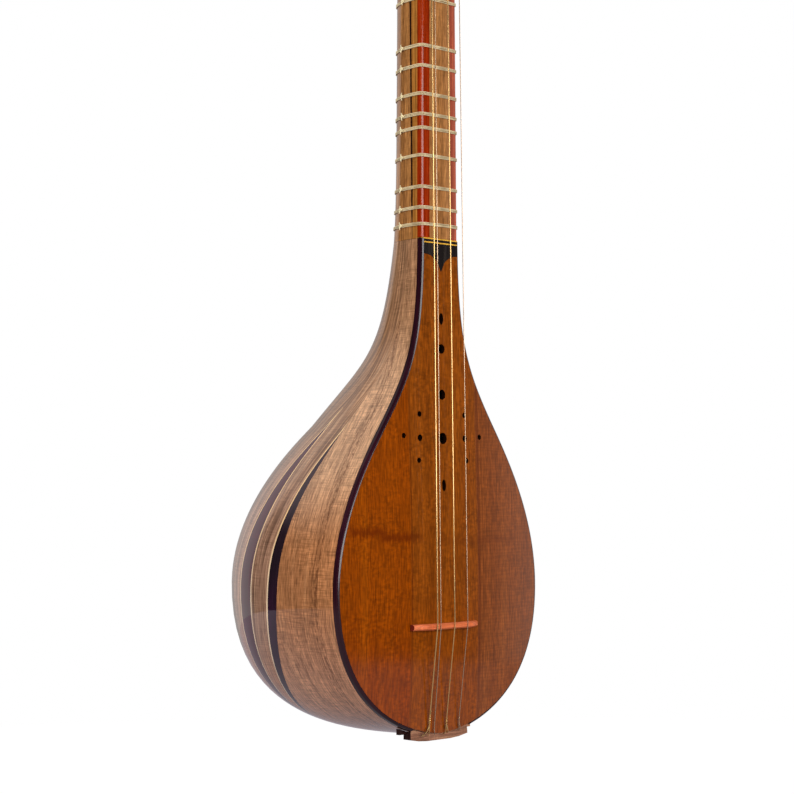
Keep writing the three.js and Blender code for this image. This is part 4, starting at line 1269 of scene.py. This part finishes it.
def build_nut():
    """A bone bar with a rounded crest and a shallow groove for each string."""
    crest, half = NUT_RISE + CREST_RISE, NUT_WIDTH / 2
    rings = []
    for x in np.linspace(-NUT_HALF_WIDTH + 0.05, NUT_HALF_WIDTH - 0.05, 121):
        low = max(exp(-((x - nut_x) / (GROOVE_SPREAD * radius)) ** 2)
                  for _, radius, _, nut_x, *_ in STRINGS)
        top = -crest + (crest - NUT_RISE - SEAT_GAP) * min(1, 1.05 * low)
        end = 0.25 if abs(x) > NUT_HALF_WIDTH - 0.3 else 0
        outline = [(SLAB_THICKNESS, -half), (0.2, -half), (top * 0.6, -half * 0.92),
                   (top + end, -half * 0.5), (top + end, half * 0.2), (top * 0.5, half * 0.8),
                   (0.4, half), (SLAB_THICKNESS, half)]
        rings.append([(x, y, NUT_HEIGHT + z) for y, z in outline])
    add_piece("nut", loft(rings), BONE, crease=60)


# Bridge

BRIDGE_WIDTH = 3.2
CHAMFER = 1.2
STEP_DROP = 0.45
# How far the chamfered ends stand above the board, left and right
END_RISES = (3.2, 2.2)
ARCH_LIFT = 1.6
FOOT_SHARE = 0.16
ARCH_SHARE = 0.24


def build_bridge():
    """A bar with two feet, a low arch between them and chamfered ends."""
    length = BRIDGE_RIGHT - BRIDGE_LEFT
    rise = ARCH_SHARE * length - FOOT_SHARE * length
    left_foot, right_foot = BRIDGE_LEFT + FOOT_SHARE * length, BRIDGE_RIGHT - FOOT_SHARE * length
    crest, half = BRIDGE_TOP - 0.1, BRIDGE_WIDTH / 2
    rings = []
    for x in sorted([*np.linspace(BRIDGE_LEFT, BRIDGE_RIGHT, 90), BRIDGE_STEP - 0.05,
                     BRIDGE_STEP + 0.05]):
        under = board_front(x, BOARD_HALF_WIDTH - BOARD_INSET) - 0.12
        left = np.interp(x, [BRIDGE_LEFT, left_foot], [under - END_RISES[0], crest])
        right = np.interp(x, [right_foot, BRIDGE_RIGHT], [crest, under - END_RISES[1]])
        high = max(left, right) + (STEP_DROP if x < BRIDGE_STEP else 0)
        low = under - np.interp(x, [left_foot, left_foot + rise, right_foot - rise, right_foot],
                                [0, ARCH_LIFT, ARCH_LIFT, 0])
        left_half = [(low, -half), (high + CHAMFER, -half), (high + 0.1, -half * 0.55),
                     (high, -half * 0.3)]
        outline = left_half + [(y, -z) for y, z in left_half[::-1]]
        rings.append([(x, y, BRIDGE_HEIGHT + z) for y, z in outline])
    add_piece("bridge", loft(rings), BRIDGE_WOOD, "bridge", crease=30)


# Frets: semitones above the open string

FRETS = [
    1, 1.5, 2, 3, 3.5, 4, 5, 5.5, 6.5, 7, 8, 8.5, 9, 10, 10.5, 12, 13.38, 14, 14.9, 15.58, 16.06,
    17.05, 18.26, 19.1, 19.8,
]
FRET_WIDTH = 1.75
STRANDS = 3
STRAND_RADIUS = 0.26
STRAND_PITCH = (FRET_WIDTH - 2 * STRAND_RADIUS) / (STRANDS - 1)
STRAND_LIFT = 0.12 + STRAND_RADIUS
FRET_TRAVEL = 3
KNOT_ANGLE = radians(32)
KNOT_OFF = 1.2
KNOT_SIZE = 0.85


def fret_loop(z):
    """Points of a loop just off the neck, which fits it at the low end of its slide."""
    half_width, depth = neck_half_width(z), neck_depth(z - FRET_TRAVEL)
    flat = half_width - CORNER_RADIUS
    front = [(x, y - STRAND_LIFT) for x, y in crowned(-flat, flat, 12)]
    turn = round_corner(flat, STRAND_LIFT, 7)[1:]
    start = asin(NECK_FRONT / depth)
    under = [((half_width + STRAND_LIFT) * cos(a), (depth + STRAND_LIFT) * sin(a))
             for a in np.linspace(start, pi - start, 30)]
    return front + turn + under + [(-x, y) for x, y in turn[::-1]]


def tied_knot(centre, outward, rng):
    """A small overhand knot with two short tails."""
    along, size = np.array([0, 0, 1.0]), KNOT_SIZE
    across = np.cross(outward, along)
    loop = [centre + size * 0.36 * ((sin(a) + 2 * sin(2 * a)) * along
            + (cos(a) - 2 * cos(2 * a)) * across - sin(3 * a) * outward) for a in around(39)]
    parts = [tube(loop, size * 0.42, 7, closed=True)]
    for turn in (-1, 1):
        lean = 0.3 * rng.uniform(-1, 1)
        tail = smooth_path([centre, centre + size * (turn * 1.1 * along + 0.5 * outward),
                            centre + size * ((turn * 2.4) * along + (0.5 + lean) * outward
                                             + lean * across)], 5)
        parts.append(tube(tail, size * 0.3, 6))
    return combine(*parts)


def strand(height, phase, rng):
    """One turn of gut round the neck, which wanders a little up and down."""
    wander = [rng.uniform(-0.05, 0.05) for _ in range(3)]
    outline = fret_loop(height)
    path = [(x, y, height + sum(w * sin((j + 1) * a + phase) for j, w in enumerate(wander)))
            for a, (x, y) in zip(around(len(outline)), outline)]
    return tube(path, STRAND_RADIUS, 6, closed=True)


def build_frets():
    rng = random.Random(7)
    for i, semitones in enumerate(FRETS):
        z = BRIDGE_HEIGHT + STRING_LENGTH * 2 ** (-semitones / 12)
        name = f"fret_{i + 1:02d}"
        lowest = z - FRET_WIDTH / 2 + STRAND_RADIUS
        loop = combine(*[strand(lowest + k * STRAND_PITCH, k, rng) for k in range(STRANDS)])
        add_piece(name, loop, GUT, name, crease=60)
        half_width, depth = neck_half_width(z), neck_depth(z)
        angle = KNOT_ANGLE + rng.uniform(-0.03, 0.03)
        outward = unit(np.array([-cos(angle) / half_width, sin(angle) / depth, 0]))
        base = np.array([-half_width * cos(angle), depth * sin(angle), z])
        add_piece(f"{name}_knot", tied_knot(base + outward * KNOT_OFF, outward, rng), KNOT_GUT,
                  name, crease=60)


# CAD pieces that stay


def dress_cad(name, material, bevel=0.0):
    """Puts a material on a CAD node, with its edges eased by a bevel in millimetres."""
    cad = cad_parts[name]
    cad.data.materials.clear()
    cad.data.materials.append(material)
    if bevel:
        ease = cad.modifiers.new("ease", "BEVEL")
        ease.width, ease.segments, ease.limit_method = bevel * MM, 2, "ANGLE"
        ease.angle_limit = radians(CREASE)


# Studio, in metres but for the camera's place and the floor

IMAGE_SIDE = 794
CAMERA_YAW = radians(46.31)
CAMERA_PITCH = radians(2.42)
CAMERA_ROLL = radians(-0.18)
CAMERA_PLACE = (-816.5, -747.5, 131.7)
FOCAL_PIXELS = 2089
SENSOR = 36


def build_camera():
    data = bpy.data.cameras.new("camera")
    data.sensor_width = SENSOR
    data.lens = SENSOR * FOCAL_PIXELS / IMAGE_SIDE
    data.clip_start, data.clip_end = 0.05, 50
    ahead = Vector((sin(CAMERA_YAW) * cos(CAMERA_PITCH), cos(CAMERA_YAW) * cos(CAMERA_PITCH),
                    sin(CAMERA_PITCH)))
    right = Vector((cos(CAMERA_YAW), -sin(CAMERA_YAW), 0))
    up = right.cross(ahead)
    turned_right = cos(CAMERA_ROLL) * right + sin(CAMERA_ROLL) * up
    turned_up = -sin(CAMERA_ROLL) * right + cos(CAMERA_ROLL) * up
    basis = Matrix((turned_right, turned_up, -ahead)).transposed().to_4x4()
    basis.translation = Vector(place([CAMERA_PLACE])[0])
    camera = linked("camera", data)
    camera.matrix_world = basis
    bpy.context.scene.camera = camera


def ray_kinds(tree):
    """Shares that say how a ray looks: seen directly or through glass, and seen in a gloss."""
    seen, through, glossy = (node(tree, "LightPath", output=f"Is {kind} Ray")
                             for kind in ("Camera", "Transmission", "Glossy"))
    return seen.larger(through), glossy


AMBIENT = 0.4
BACKDROP_NEAR = 0.62
BACKDROP_LOW = 0.36
BACKDROP_FAR = 0.95
CEILING = 0.5
DARK_ROOM = 0.02


def build_world():
    """A white studio. In a gloss it is a backdrop behind and right, a ceiling, and a dark room."""
    world = bpy.data.worlds.new("studio")
    bpy.context.scene.world = world
    world.use_nodes = True
    tree = world.node_tree
    background = tree.nodes["Background"]
    background.inputs["Color"].default_value = (1, 1, 1, 1)
    across, deep, up = node(tree, "TexCoord", output="Generated").numbers()
    turn = across.math("ARCTAN2", deep)

    def stretch(start, end, low=0.0, high=1.0):
        """A share that changes between two directions, in degrees from +Y towards +X."""
        return turn.ranged(radians(start), radians(end), low, high)

    level = stretch(15, 38, BACKDROP_NEAR, BACKDROP_LOW).larger(stretch(55, 85, 0, BACKDROP_FAR))
    backdrop = stretch(-5, 1) * stretch(132, 117) * level
    ceiling = up.ranged(0.24, 0.44, 0, CEILING) * (stretch(-45, -10) * stretch(126, 104))
    direct, glossy = ray_kinds(tree)
    reflected = backdrop.larger(ceiling).larger(DARK_ROOM)
    feed(background.inputs["Strength"],
         glossy.between(direct.between(AMBIENT, 1.0), reflected))


FLOOR_DROP = 150
FLOOR_RADIUS = 1450
FLOOR_TINT = (0.96, 0.88, 1, 1)
FLOOR_COLOUR = (0.16, 0.145, 0.155, 1)
FLOOR_GLOW = 0.92
FLOOR_GLOSS_NEAR = 0.15
FLOOR_GLOSS_FAR = 0.4


def build_floor():
    """A round floor below the instrument: white to the eye, and in a gloss darker in front."""
    points = [(FLOOR_RADIUS * cos(a), FLOOR_RADIUS * sin(a), -FLOOR_DROP) for a in around(128)]
    floor = linked("floor", new_mesh("floor", points, [tuple(range(len(points)))]))
    material = bpy.data.materials.new("floor")
    material.use_nodes = True
    tree = material.node_tree
    tree.nodes.remove(tree.nodes["Principled BSDF"])
    direct, glossy = ray_kinds(tree)
    right, back, _ = object_place(tree).numbers()
    gloss = (right + back).ranged(-0.2, 1.5, FLOOR_GLOSS_NEAR, FLOOR_GLOSS_FAR)
    glow = node(tree, "Emission", mixed(glossy, (1, 1, 1, 1), FLOOR_TINT),
                glossy.between(direct * FLOOR_GLOW, gloss))
    both = node(tree, "AddShader", node(tree, "BsdfDiffuse", FLOOR_COLOUR), glow)
    feed(tree.nodes["Material Output"].inputs["Surface"], both)
    floor.data.materials.append(material)


# Soft lights that no gloss shows: place from the middle of the bowl, and power
SOFT_SIZE = (1.2, 1.2)
SOFT_LIGHTS = {"side": ((-2.0, -0.3, 0.6), 19), "overhead": ((-1.1, 0.3, 1.7), 8)}
KEY_TURN = radians(190)
KEY_DISTANCE = 2.1
KEY_SIZE = (2.6, 0.7)
KEY_POWER = 41


def area_light(name, spot, target, size, power):
    data = bpy.data.lights.new(name, "AREA")
    data.shape, data.size, data.size_y = "RECTANGLE", *size
    data.energy = power
    light = linked(name, data)
    light.location = spot
    light.rotation_mode = "QUATERNION"
    light.rotation_quaternion = (Vector(target) - spot).to_track_quat("-Z", "Y")
    return light


def build_lights():
    middle = Vector(place([(0, 50, 120)])[0])
    spot = middle + Vector((KEY_DISTANCE * sin(KEY_TURN), KEY_DISTANCE * cos(KEY_TURN),
                            KEY_SIZE[1] / 2))
    area_light("key", spot, (middle.x, middle.y, spot.z), KEY_SIZE, KEY_POWER)
    for name, (off, power) in SOFT_LIGHTS.items():
        light = area_light(name, middle + Vector(off), middle, SOFT_SIZE, power)
        light.visible_glossy = False


build_camera()
build_ribs()
build_binding()
build_board()
build_inlay()
build_neck()
build_fingerboard()
build_nut()
build_head()
build_pegs()
build_windings()
build_strings()
build_bridge()
build_frets()
dress_cad("string_holder", HOLDER_WOOD, 0.15)
dress_cad("tail_block", SPRUCE)
build_world()
build_floor()
build_lights()

bpy.context.scene.view_settings.view_transform = "Standard"
